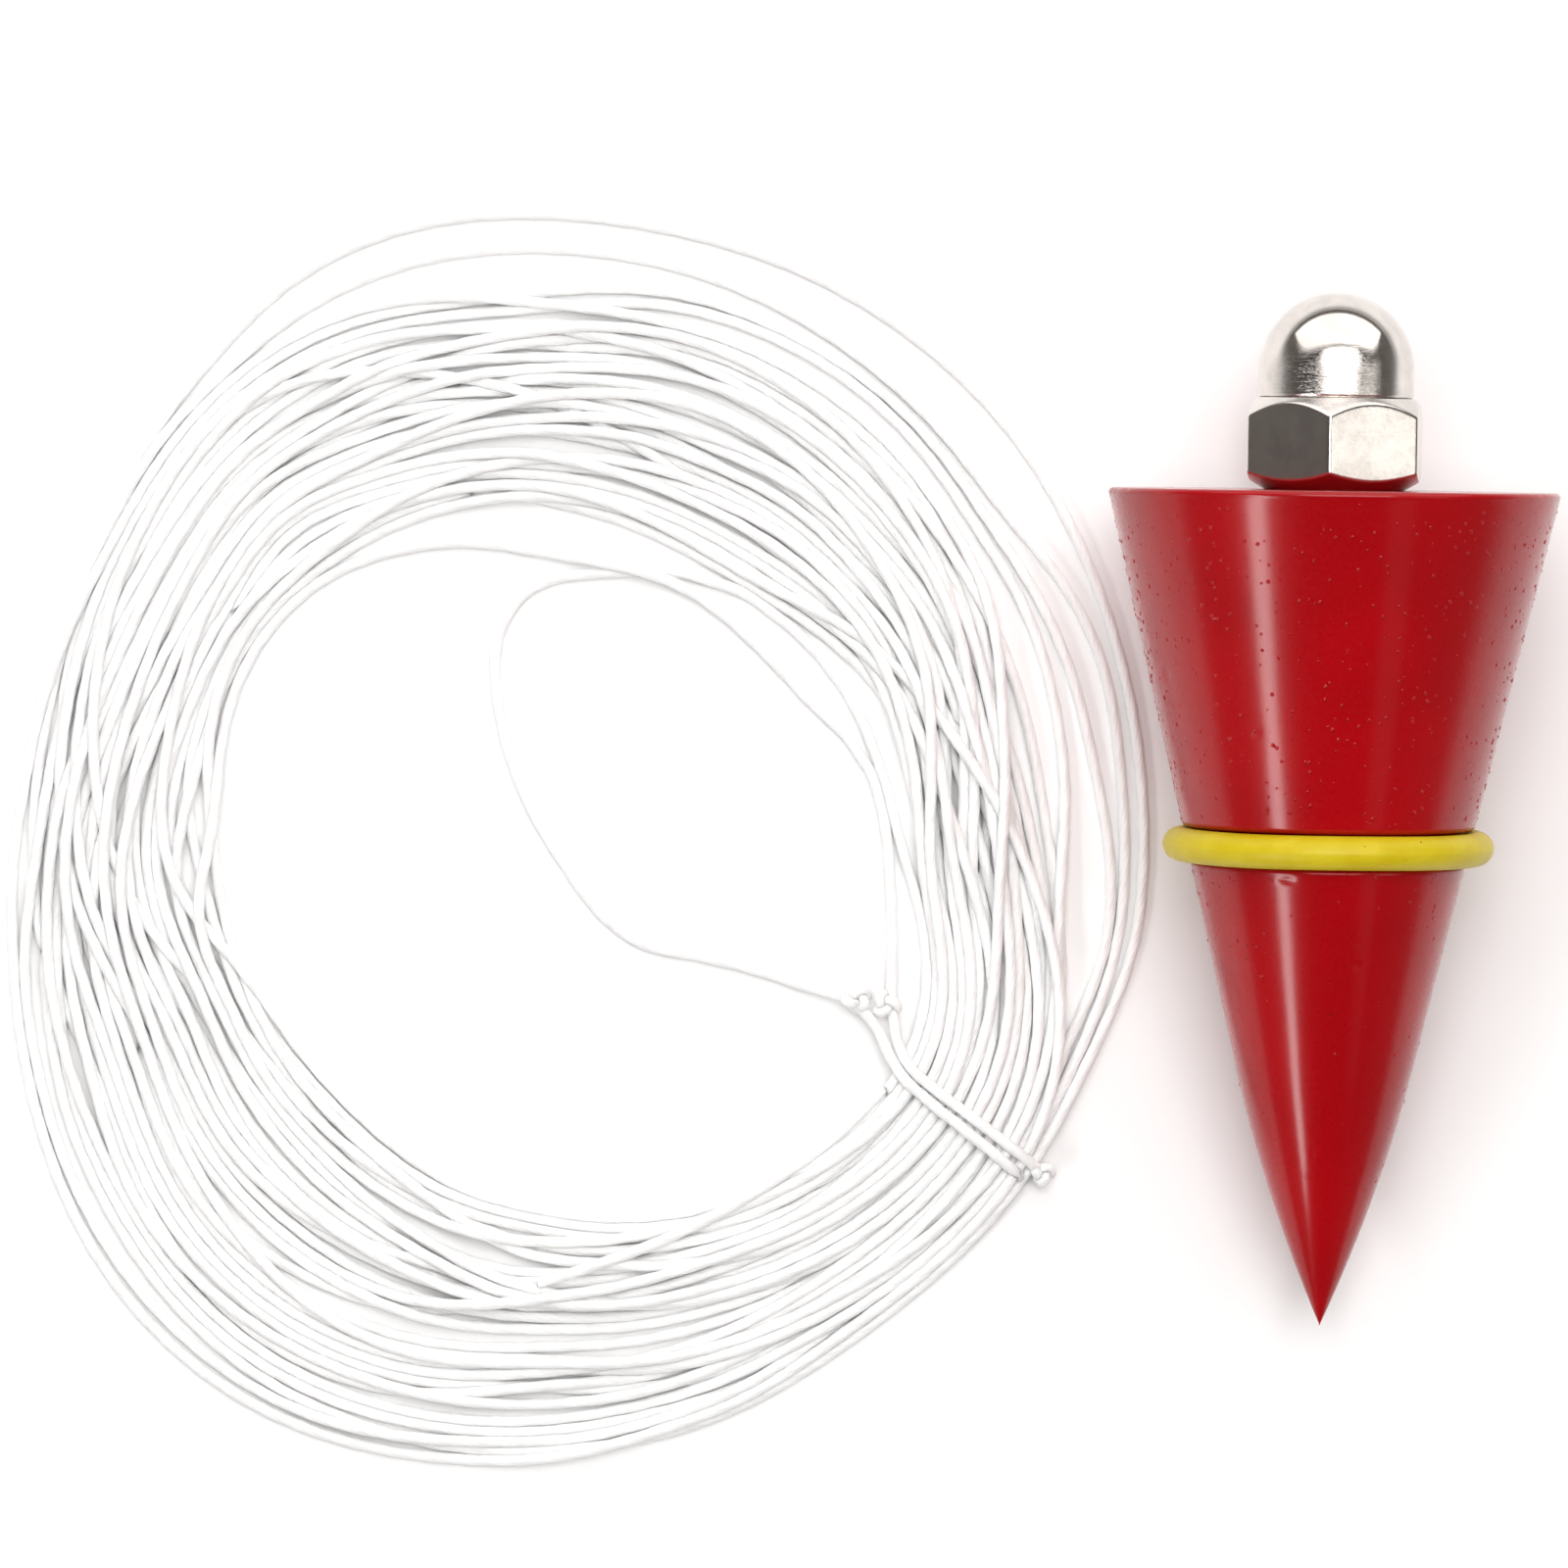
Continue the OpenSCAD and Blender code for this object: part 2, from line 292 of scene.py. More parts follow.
def rubber_finish(colour):
    """Moulded coloured rubber with a dusting of specks and a slightly matt skin."""
    made = Finish("yellow_rubber", Specular_IOR_Level=0.3, Subsurface_Weight=0.12, Subsurface_Scale=0.002)
    place = made.attribute("local")
    cloud = made.noise(place, 0.35, 3.0)
    skin = made.noise(place, 4.5, 4.0, 0.6)
    dots = made.cells(place, 0.8)
    chance = made.parts(made.cells(place, 0.8, "Color"))[1]
    speck = (1 - dots.rise(0.05, 0.11)) * chance.rise(0.93, 0.95)
    base = made.mix(cloud.rise(0.3, 0.75), rgb(colour), rgb((0.66, 0.53, 0.015)))
    base = made.mix(speck, base, rgb((0.05, 0.04, 0.01)))
    made.feed(Base_Color=base, Roughness=0.3 + 0.18 * skin)
    made.bump(skin * 0.03 + cloud * 0.04, MM)
    return made.material


def nickel_finish(colour):
    """Bright nickel over machined steel: rings of tool marks low on the dome, nicks and hazy stains."""
    made = Finish("nickel_plate", Metallic=1.0)
    place = made.attribute("local")
    x, y, z = made.parts(place)
    ringed = made.vector(x * 0.16, y * 0.16, z * 5.0)
    turned = made.noise(ringed, 1.6, 4.0, 0.7)
    low = z.rise(8.9, 9.6) * (1 - z.rise(12.2, 15.4))
    flats = 1 - z.rise(9.0, 9.2)
    stain = made.noise(place, 0.35, 3.0, 0.6)
    grain = made.noise(place, 6.0, 3.0, 0.6)
    scratch = made.noise(made.vector(x * 0.5, y * 0.5, z * 9.0), 1.2, 3.0, 0.7)
    base = made.mix(stain.rise(0.35, 0.7), rgb(colour), rgb(colour, 0.86))
    rough = 0.07 + 0.05 * stain + 0.12 * low * turned + 0.2 * flats * grain
    made.feed(Base_Color=base, Roughness=rough)
    made.bump(turned * low * 0.03 + scratch * 0.0012 + grain * 0.003 * flats + stain * 0.03 * flats, MM)
    return made.material


def steel_finish():
    """Rolled thread: bright crests, with painted shade darkening the roots."""
    made = Finish("stud_steel", Metallic=1.0)
    place = made.attribute("local")
    x, y, z = made.parts(place)
    radius = (x * x + y * y) ** 0.5
    marks = made.noise(made.vector(x, y, z * 3.0), 2.4, 4.0, 0.7)
    # painted shade: the colour darkens from the crests down into the thread's roots
    base = made.mix(radius.rise(4.1, 4.9), rgb((0.19, 0.18, 0.17)), rgb((0.56, 0.55, 0.53)))
    made.feed(Base_Color=base, Roughness=0.24 + 0.2 * marks)
    made.bump(marks * 0.02, MM)
    return made.material


def nylon_finish(colour):
    """Twisted translucent nylon: slanting filaments along the line, with small glints."""
    made = Finish("nylon_line", Subsurface_Weight=1.0, Subsurface_Scale=0.0005, Subsurface_Radius=(1, 1, 1),
                  Specular_IOR_Level=0.4, Sheen_Weight=0.5)
    side = made.attribute("lay")
    across, up, along = made.parts(side)
    angle = made.node("ShaderNodeMath", {"operation": "ARCTAN2"}, {0: up, 1: across})
    ply = (angle * 3.0 + along * 1.5).sine() * 0.5 + 0.5
    filament = (angle * 9.0 + along * 4.6).sine() * 0.5 + 0.5
    patch = made.noise(made.vector(across * 0.6, up * 0.6, along * 0.55), 1.0, 3.0, 0.6)
    cloud = made.noise(made.vector(across * 0.1, up * 0.1, along * 0.02), 1.0, 2.0)
    groove = (1 - ply) ** 2.0
    # painted shade: the colour darkens in the grooves between the plies; the patches add random darker tone of
    # the line itself
    base = made.mix(groove * 0.4 + patch * 0.2, rgb(colour), rgb(colour, 0.95))
    base = made.mix(cloud.rise(0.4, 0.8) * 0.25, base, rgb((colour[0], colour[1] * 0.97, colour[2] * 0.97)))
    made.feed(Base_Color=base, Roughness=0.24 + 0.3 * patch)
    made.bump(ply * 0.04 + filament * patch * 0.06, MM)
    return made.material


def floor_finish(colour):
    """Matt white paper, its colour darkened well away from the set as painted shade."""
    made = Finish("white_floor", Specular_IOR_Level=0.1)
    place = made.node("ShaderNodeTexCoord", {}, {}, "Object")
    tooth = made.noise(place, 40.0, 2.0)
    x, y, _ = made.parts(place)
    # painted shade: the floor's colour darkens away from the set, where the lamps' light would fall off
    away = (((x + 0.05) ** 2.0 + y * y) ** 0.5).rise(0.14, 0.34)
    paper = made.mix(tooth, rgb(colour), rgb(colour, 0.985))
    made.feed(Base_Color=made.mix(away, paper, rgb(colour, 0.42)), Roughness=0.85 + 0.05 * tooth)
    return made.material


# ---------------------------------------------------------------- meshes


def laid(points):
    """Points on the bob's own axes, in millimetres, as places in the frame, in metres."""
    p = np.asarray(points, float) * MM
    return TOP_M + p[..., :1] * SIDE + p[..., 1:2] * DOWN + p[..., 2:3] * AXIS


def shell(rows, columns, wrap):
    """Quads of a grid of rows; wrap joins the last row to the first as well."""
    r = np.arange(rows if wrap else rows - 1)[:, None]
    c = np.arange(columns)[None, :]
    r2 = (r + 1) % rows
    c2 = (c + 1) % columns
    quads = np.stack([r * columns + c, r * columns + c2, r2 * columns + c2, r2 * columns + c], axis=-1)
    return quads.reshape(-1, 4)


def volume(points, faces):
    """Signed volume of a closed mesh; below 0 when its faces point inwards."""
    total = 0.0
    for j in range(1, faces.shape[1] - 1):
        a, b, c = points[faces[:, 0]], points[faces[:, j]], points[faces[:, j + 1]]
        total += np.einsum("ij,ij->i", a, np.cross(b, c)).sum()
    return total


def solid(name, rings, ends=True, wrap=False, place=laid, marks=None, mark_name="local"):
    """A closed piece from rings of points. With ends, each end ring closes on its own middle point."""
    rows, columns = rings.shape[:2]
    points = rings.reshape(-1, 3)
    quads = shell(rows, columns, wrap)
    triangles = np.zeros((0, 3), int)
    kept = points if marks is None else marks.reshape(-1, 3)
    if ends:
        c = np.arange(columns)
        first, last = len(points), len(points) + 1
        start = np.stack([(c + 1) % columns, c, np.full(columns, first)], axis=1)
        stop = np.stack([c, (c + 1) % columns, np.full(columns, last - first)], axis=1) + (rows - 1) * columns
        stop[:, 2] = last
        triangles = np.vstack([start, stop])
        points = np.vstack([points, rings[0].mean(0), rings[-1].mean(0)])
        kept = np.vstack([kept, kept[:columns].mean(0), kept[-columns:].mean(0)])
    if volume(points, quads) + volume(points, triangles) < 0:
        quads, triangles = quads[:, ::-1], triangles[:, ::-1]
    mesh = bpy.data.meshes.new(name)
    mesh.from_pydata(place(points).tolist(), [], quads.tolist() + triangles.tolist())
    mesh.polygons.foreach_set("use_smooth", np.ones(len(mesh.polygons), bool))
    stored = mesh.attributes.new(mark_name, "FLOAT_VECTOR", "POINT")
    stored.data.foreach_set("vector", kept.astype(np.float32).ravel())
    mesh.validate()
    made = bpy.data.objects.new(name, mesh)
    bpy.context.scene.collection.objects.link(made)
    return made


def lathe(profile, columns, shape=None):
    """Rings of points from a profile of (radius, height); shape may change radius and height."""
    angle = np.linspace(0, 2 * math.pi, columns, endpoint=False)
    radius = np.repeat(profile[:, :1], columns, axis=1)
    height = np.repeat(profile[:, 1:2], columns, axis=1)
    if shape is not None:
        radius, height = shape(radius, height, np.repeat(angle[None, :], len(profile), axis=0))
    return np.stack([radius * np.cos(angle), radius * np.sin(angle), height], axis=-1)


def run(a, b, count):
    """Evenly spaced profile points from a to b, without b."""
    return np.linspace(a, b, count, endpoint=False)


def arc(centre, radius, start, stop, count):
    """Profile points on an arc, in degrees, without its last point."""
    t = np.radians(np.linspace(start, stop, count, endpoint=False))
    return np.stack([centre[0] + radius * np.cos(t), centre[1] + radius * np.sin(t)], axis=1)


def ripple(angle, height, seed, size, turns, reach):
    """Low smooth unevenness made of a few sine waves, the same each run."""
    rng = np.random.default_rng(seed)
    total = np.zeros_like(angle)
    for _ in range(9):
        k = rng.integers(1, turns + 1)
        total += np.sin(k * angle + height * rng.uniform(-1, 1) / reach * 2 * math.pi + rng.uniform(0, 6.3))
    return total * size / 3


def finish_with(piece, material, slot, body, *nodes):
    """Gives a piece its material and its body, and hides the nodes that it stands for. The slot is not used."""
    piece.data.materials.clear()
    piece.data.materials.append(material)
    if nodes:
        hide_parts(*nodes)
    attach(piece, body)
    return piece


# ---------------------------------------------------------------- the line


def stray_tables():
    """Each loose turn's number with its (angle, radius) pairs."""
    return [(number, tuple((first + 10 * k, r) for k, r in enumerate(radii))) for number, first, radii in STRAYS]


def soft_step(x):
    x = np.clip(x, 0, 1)
    return x * x * (3 - 2 * x)


def closed_table(table, place):
    """Smooth value of a closed table at a place counted in table steps."""
    n = len(table)
    t = np.asarray(table, float)
    k = np.floor(place).astype(int)
    f = place - k
    a, b, c, d = (t[(k + j) % n] for j in (-1, 0, 1, 2))
    return b + 0.5 * f * (c - a + f * (2 * a - 5 * b + 4 * c - d + f * (3 * (b - c) + d - a)))


def even(p, step):
    """The same line with points a fixed step apart."""
    s = np.r_[0, np.cumsum(np.linalg.norm(np.diff(p, axis=0), axis=1))]
    t = np.linspace(0, s[-1], max(2, int(round(s[-1] / step)) + 1))
    return np.stack([np.interp(t, s, p[:, j]) for j in range(p.shape[1])], axis=1)


def through(points, step=1.0):
    """A smooth curve through a few points, evenly spaced."""
    p = np.asarray(points, float)
    p = np.vstack([2 * p[0] - p[1], p, 2 * p[-1] - p[-2]])
    f = np.linspace(0, 1, 24, endpoint=False)[:, None]
    out = []
    for a, b, c, d in zip(p[:-3], p[1:-2], p[2:-1], p[3:]):
        out.append(b + 0.5 * f * (c - a + f * (2 * a - 5 * b + 4 * c - d + f * (3 * (b - c) + d - a))))
    out.append(p[-2:-1])
    return even(np.vstack(out), step)


def places_across(rng, turns, span):
    """Each turn's share of the way across the bundle at four stations, ranked so the turns stay spread."""
    stations = ((325.0, 0.12), (215.0, 0.16), (142.0, 0.5), (60.0, 0.2))
    n = turns + 2
    walk = np.cumsum(rng.normal(0, 0.45, n))
    walk = (walk - walk.min()) / (walk.max() - walk.min())
    current = 0.55 * walk + 0.45 * rng.random(n)
    found = [(0.0, 0.02)]
    for place, move in stations:
        current = current + rng.normal(0, move, n)
        score = current.copy()
        for k in range(n):
            at = (JOIN_ANGLE - place) % 360 + 360 * k
            for number, table in stray_tables():
                first = 360 * number + JOIN_ANGLE - table[-1][0] + 360
                last = 360 * number + JOIN_ANGLE - table[0][0] + 360
                if first - 70 < at < last + 70:
                    score[k] = 10 + table[-1][1] / 100
            if at < 100 or at > span - 130:
                score[k] = -10 - k / 100
        rank = score.argsort().argsort() / (n - 1.0)
        current = np.where(abs(score) > 5, current, rank)
        for k in range(n):
            at = (JOIN_ANGLE - place) % 360 + 360 * k
            if at < span - 60:
                found.append((at, rank[k]))
    found = sorted(found) + [(span - 50, 0.0), (span, 0.0)]
    return np.array(found).T


def turns_from_above(rng, turns, thick):
    """Places of the coil's turns seen from above, wound clockwise."""
    span = turns * 360 + (JOIN_ANGLE - LEAVE_ANGLE)
    turned = np.arange(0, span, 0.8)
    angle = JOIN_ANGLE - turned
    at, share = places_across(rng, turns, span)
    i = np.clip(np.searchsorted(at, turned, side="right") - 1, 0, len(at) - 2)
    s = share[i] + (share[i + 1] - share[i]) * soft_step((turned - at[i]) / (at[i + 1] - at[i]))
    for period, size in ((0.53, 0.02), (0.31, 0.014), (0.17, 0.008)):
        s = s + size * np.sin(2 * math.pi * (turned / 360 / period + rng.random()) + 2 * np.sin(turned / 212))
    s = np.clip(s, 0, 1)
    inner = closed_table(COIL_INNER, (angle % 360) / 30) + thick / 2
    outer = closed_table(COIL_OUTER, (angle % 360) / 30) - thick / 2
    shift, used = np.zeros_like(s), np.zeros_like(s)
    for middle, half, place, width in OPENINGS:
        off = (angle - middle + 180) % 360 - 180
        lens = width * np.where(abs(off) < half, np.cos(off / half * math.pi / 2) ** 2, 0)
        shift = shift + lens * soft_step((s - place) / 0.08 + 0.5)
        used = used + lens
    radius = inner + s * (outer - inner - used) + shift
    for number, table in stray_tables():
        t = np.array(table, float)
        low, high = t[0, 0] - 360, t[-1, 0] - 360
        here = angle + 360 * number
        w = soft_step((here - low + 18) / 18) * soft_step((high + 18 - here) / 18)
        radius = radius + (np.interp(here, t[:, 0] - 360, t[:, 1]) - radius) * w
    left = span - turned
    t = np.array(LAST_STRAND)
    radius = radius + (np.interp(left, t[:, 0], t[:, 1]) - radius) * soft_step((115 - left) / 20)
    radius = radius + (31.6 - radius) * soft_step((40 - turned) / 40)
    kernel = np.hanning(29) / np.hanning(29).sum()
    radius = np.convolve(np.pad(radius, 14, "edge"), kernel, "valid")
    a = np.radians(angle)
    return np.stack([COIL_CENTRE[0] + radius * np.cos(a), COIL_CENTRE[1] + radius * np.sin(a)], axis=1)


def floor_under(p, thick):
    """Lowest height of the line's middle: on the floor, or over the tie that passes under the bundle."""
    x, y = p[:, 0] - COIL_CENTRE[0], p[:, 1] - COIL_CENTRE[1]
    off = (np.degrees(np.arctan2(y, x)) - TIE_ANGLE + 180) % 360 - 180
    r = np.hypot(x, y)
    near = soft_step((r - 36) / 3) * soft_step((60 - r) / 4)
    return thick / 2 + thick * np.exp(-((off / 9.0) ** 2)) * near


class Pile:
    """Heights that the next stretch of line needs to lie over what is already there."""

    CELL = 0.25
    LOW = np.array([-150.0, -75.0])

    def __init__(self, thick):
        self.thick = thick
        self.field = np.zeros((640, 600))

    def add(self, p):
        reach = int(self.thick / self.CELL) + 1
        place = (p[:, :2] - self.LOW) / self.CELL
        base = np.floor(place).astype(int)
        for dx in range(-reach, reach + 1):
            for dy in range(-reach, reach + 1):
                cell = base + (dx, dy)
                gap = (cell + 0.5 - place) * self.CELL
                rise = self.thick**2 - (gap**2).sum(1)
                ok = rise > 0
                np.maximum.at(self.field, (cell[ok, 0], cell[ok, 1]), p[ok, 2] + np.sqrt(rise[ok]))

    def under(self, p):
        cell = np.floor((p[:, :2] - self.LOW) / self.CELL).astype(int)
        return self.field[cell[:, 0], cell[:, 1]]


def draped(z, passes):
    """Heights raised into long low humps over the places that z marks."""
    low = z.copy()
    for _ in range(passes):
        q = np.r_[z[0], z, z[-1]]
        z = np.maximum(low, 0.25 * q[:-2] + 0.5 * q[1:-1] + 0.25 * q[2:])
    return z


def laid_down(xy, thick, stretch=60):
    """A line laid from its start, each stretch on those already there."""
    pile = Pile(thick)
    p = np.c_[xy, np.zeros(len(xy))]
    p[:, 2] = floor_under(p, thick)
    waiting = []
    for a in range(0, len(p), stretch):
        part = p[a : a + stretch]
        part[:, 2] = np.maximum(part[:, 2], pile.under(part))
        waiting.append(part)
        if len(waiting) > 1:
            pile.add(waiting.pop(0))
    p[:, 2] = draped(p[:, 2], 60)
    return p


def near_pairs(p, reach, skip):
    """Pairs of points nearer than reach that aren't neighbours along the line."""
    cell = np.floor((p - p.min(0) + reach) / reach).astype(np.int64)
    size = cell.max(0) + 3
    key = (cell[:, 0] * size[1] + cell[:, 1]) * size[2] + cell[:, 2]
    order = np.argsort(key, kind="stable")
    ranked = key[order]
    found = []
    for step in np.ndindex(3, 3, 3):
        other = key + ((step[0] - 1) * size[1] + step[1] - 1) * size[2] + step[2] - 1
        start = np.searchsorted(ranked, other, "left")
        count = np.searchsorted(ranked, other, "right") - start
        for j in range(int(count.max())):
            i = np.nonzero(count > j)[0]
            k = order[start[i] + j]
            ok = k - i > skip
            i, k = i[ok], k[ok]
            ok = ((p[i] - p[k]) ** 2).sum(1) < reach**2
            found.append(np.stack([i[ok], k[ok]]))
    return np.concatenate(found, axis=1)


def blurred(v, width):
    kernel = np.hanning(width + 2)[1:-1]
    kernel = kernel / kernel.sum()
    return np.stack([np.convolve(np.pad(c, width // 2, "edge"), kernel, "valid") for c in v.T], axis=1)


def settled(p, thick, rounds):
    """Lets the turns sink and slide off each other until they lie side by side."""
    start = p.copy()
    n = len(p)
    for k in range(rounds):
        if k % 8 == 0:
            i, j = near_pairs(p, thick + 0.5, 3)
        p = p - (0, 0, 0.05 * max(0.0, 1 - k / (rounds * 0.8)))
        gap = p[i] - p[j]
        far = np.linalg.norm(gap, axis=1)
        hit = far < thick
        a, b = i[hit], j[hit]
        push = gap[hit] / np.maximum(far[hit], 1e-6)[:, None] * (0.5 * (thick - far[hit]))[:, None]
        total = np.stack([np.bincount(a, c, n) - np.bincount(b, c, n) for c in push.T], axis=1)
        count = np.bincount(a, minlength=n) + np.bincount(b, minlength=n)
        p = p + total / np.maximum(1, count * 0.6)[:, None]
        aside = p[:, :2] - start[:, :2]
        p[:, :2] = start[:, :2] + (0.3 * aside + 0.7 * blurred(aside, 9)) * 0.997
        if k < rounds - 6:
            p[:, 2:] = 0.5 * p[:, 2:] + 0.5 * blurred(p[:, 2:], 5)
        p[:, 2] = np.maximum(p[:, 2], floor_under(p, thick))
    return p


def round_the_bundle(p, thick):
    """Outline of the bundle where it is tied, as (radius, height), from its top inside edge going down."""
    x, y = p[:, 0] - COIL_CENTRE[0], p[:, 1] - COIL_CENTRE[1]
    r = np.hypot(x, y)
    off = (np.degrees(np.arctan2(y, x)) - TIE_ANGLE + 180) % 360 - 180
    here = (abs(np.radians(off) * r) < 1.6) & (r > 36) & (r < 60)
    a = np.linspace(0, 2 * math.pi, 24, endpoint=False)
    ring = np.stack([np.cos(a), np.sin(a)], axis=1) * thick
    spread = (np.stack([r[here], p[here, 2]], axis=1)[:, None] + ring[None]).reshape(-1, 2)
    middle = spread.mean(0)
    points = spread[np.lexsort((spread[:, 1], spread[:, 0]))]
    hull = []
    for side in (points, points[::-1]):
        half = []
        for q in side:
            while len(half) > 1:
                u, v = half[-1] - half[-2], q - half[-2]
                if u[0] * v[1] - u[1] * v[0] > 0:
                    break
                half.pop()
            half.append(q)
        hull += half[:-1]
    hull = even(np.array(hull + hull[:1]), 0.4)[:-1]
    turn = np.arctan2(hull[:, 1] - middle[1], hull[:, 0] - middle[0])
    hull = np.roll(hull, -int(np.argmin(abs(turn - 3.05))), axis=0)
    return even(np.vstack([hull, hull[:1]]), 0.5)


def across_the_tie(outline, offsets):
    """Places on the bundle's outline, each moved along the bundle by its own offset."""
    a = math.radians(TIE_ANGLE)
    out = np.array([math.cos(a), math.sin(a)])
    on = np.array([-math.sin(a), math.cos(a)])
    xy = np.array(COIL_CENTRE) + outline[:, :1] * out + np.asarray(offsets)[:, None] * on
    return np.c_[xy, np.maximum(outline[:, 1], 0.55)]


def line_route(thick, turns, seed):
    """The whole line from its free tail, round the tie, the loop and the coil, to the knot on the tie."""
    rng = np.random.default_rng(seed)
    loop, strand = through(LOOP), through(STRAND)
    coil = turns_from_above(rng, turns, thick)
    whole = even(np.vstack([loop[:, :2], coil, strand[:, :2]]), 1.0)
    p = laid_down(whole, thick)
    lead_in, lead_out = len(even(loop[:, :2], 1.0)), len(even(strand[:, :2], 1.0))
    s = np.arange(len(p), dtype=float)
    lift_in = np.interp(s[:lead_in], np.linspace(0, lead_in, len(loop)), loop[:, 2])
    lift_out = np.interp(s[:lead_out], np.linspace(0, lead_out, len(strand)), strand[:, 2])
    p = settled(p, thick, 320)
    keep = soft_step((26 - s[:lead_in]) / 8)
    p[:lead_in, 2] = np.maximum(p[:lead_in, 2], lift_in * keep)
    keep = soft_step((s[:lead_out] - (lead_out - 24)) / 8)
    p[-lead_out:, 2] = np.maximum(p[-lead_out:, 2], lift_out * keep)
    outline = round_the_bundle(p, thick)
    # the first end comes off the tail, goes under the bundle and back over it, then up to the knot
    first = across_the_tie(outline, np.linspace(-1.3, 0.1, len(outline)))
    # the second end goes over the bundle to its outer edge and stops in a knot
    over = outline[int(np.argmax(outline[:, 0])) :][::-1]
    second = across_the_tie(over, np.linspace(1.3, 1.2, len(over)))
    pile = Pile(thick)
    pile.add(p)
    tail = through(np.c_[np.array(TAIL), np.zeros(len(TAIL))])
    tail[:, 2] = draped(np.maximum(pile.under(tail), thick / 2), 25)
    joined = even(np.vstack([tail, first, p, second]), 0.5)
    wrapped = np.zeros((len(joined), 1))
    wrapped[2 * len(tail) - 16 : 2 * len(tail) + len(first) + 24] = 1
    wrapped[-len(second) - 16 :] = 1
    for k in range(24):
        mild = blurred(joined, 5) - joined
        mild[:1] = mild[-1:] = 0
        joined = joined + mild * (1.0 if k < 2 else wrapped)
    joined[:, 2] = np.maximum(joined[:, 2], thick / 2)
    return joined, second[-1]


def tube(route, thick, sides=9, step=1.1):
    """Rings of a three-ply twisted line along a route, and their lay: across, up and along."""
    p = even(route, step)
    tangent = np.gradient(p, axis=0)
    tangent /= np.linalg.norm(tangent, axis=1)[:, None]
    up = np.array([0.0, 0.0, 1.0])
    frames = np.zeros((len(p), 2, 3))
    for k, t in enumerate(tangent):
        up = up - t * (up @ t)
        up = up / np.linalg.norm(up)
        frames[k] = np.cross(t, up), up
    along = np.r_[0, np.cumsum(np.linalg.norm(np.diff(p, axis=0), axis=1))]
    a = np.linspace(0, 2 * math.pi, sides, endpoint=False)[None, :]
    twist = along[:, None] * 0.5
    radius = thick / 2 * (1.04 + 0.06 * np.sin(3 * (a + twist)))
    across, rise = radius * np.cos(a), radius * np.sin(a)
    rings = p[:, None] + across[..., None] * frames[:, None, 0] + rise[..., None] * frames[:, None, 1]
    lay = np.stack([np.cos(a) + 0 * twist, np.sin(a) + 0 * twist, along[:, None] + 0 * a], axis=-1)
    return p, rings, lay


def overhand(centre, size, turn, flat=0.62):
    """A closed overhand knot round a centre."""
    t = np.linspace(0, 2 * math.pi, 72, endpoint=False)
    x, y = np.sin(t) + 2 * np.sin(2 * t), np.cos(t) - 2 * np.cos(2 * t)
    x, y = x * size[0] / 3, y * size[1] / 3
    c, s = math.cos(math.radians(turn)), math.sin(math.radians(turn))
    return np.stack(
        [centre[0] + c * x - s * y, centre[1] + s * x + c * y, centre[2] - flat * np.sin(3 * t)], axis=1)


# ---------------------------------------------------------------- the bob, its ring, its stud and its nut


def taper_r(down):
    """Radius of the cone at a distance below the flat top."""
    return RIM_R - down * math.tan(TAPER)


def bob_profile():
    """Outline of the painted body from the bottom of the tapped hole, over the rim, to the point."""
    rim_r = taper_r(RIM_ROUND) + 0.02
    lip = GROOVE_W / 2
    top, low = GROOVE_DOWN - lip, GROOVE_DOWN + lip
    start = np.array([taper_r(NOSE_START), -NOSE_START])
    inward = np.array([-math.cos(TAPER), math.sin(TAPER)])
    chord = np.array([0.0, -BOB_H]) - start
    radius = (chord @ chord) / (2 * chord @ inward)
    centre = start + radius * inward
    stop = math.degrees(math.atan2(-BOB_H - centre[1], -centre[0]))
    begin = math.degrees(math.atan2(start[1] - centre[1], start[0] - centre[0]))
    parts = [
        run((0.3, -TAPPED_DEPTH), (THREAD_R, -TAPPED_DEPTH), 4),
        run((THREAD_R, -TAPPED_DEPTH), (THREAD_R, -0.3), 10),
        run((THREAD_R, -0.3), (THREAD_R + 0.3, 0), 3),
        run((THREAD_R + 0.3, 0), (rim_r - RIM_ROUND, 0), 22),
        arc((rim_r - RIM_ROUND, -RIM_ROUND), RIM_ROUND, 90, -math.degrees(TAPER), 10),
        run((taper_r(RIM_ROUND + 0.15), -RIM_ROUND - 0.15), (taper_r(top - 0.25), -top + 0.25), 118),
        run((taper_r(top - 0.25), -top + 0.25), (taper_r(top) - 0.2, -top), 5),
        run((taper_r(top) - 0.2, -top), (GROOVE_FLOOR_R, -top - 0.1), 5),
        run((GROOVE_FLOOR_R, -top - 0.1), (GROOVE_FLOOR_R, -low + 0.1), 6),
        run((GROOVE_FLOOR_R, -low + 0.1), (taper_r(low) - 0.12, -low), 3),
        run((taper_r(low) - 0.12, -low), (taper_r(low + 0.2), -low - 0.2), 4),
        run((taper_r(low + 0.2), -low - 0.2), start, 70),
        arc(centre, radius, begin, stop - 0.1, 78),
        [(0.12, -BOB_H + 0.12), (0.04, -BOB_H + 0.01)],
    ]
    return np.vstack(parts)


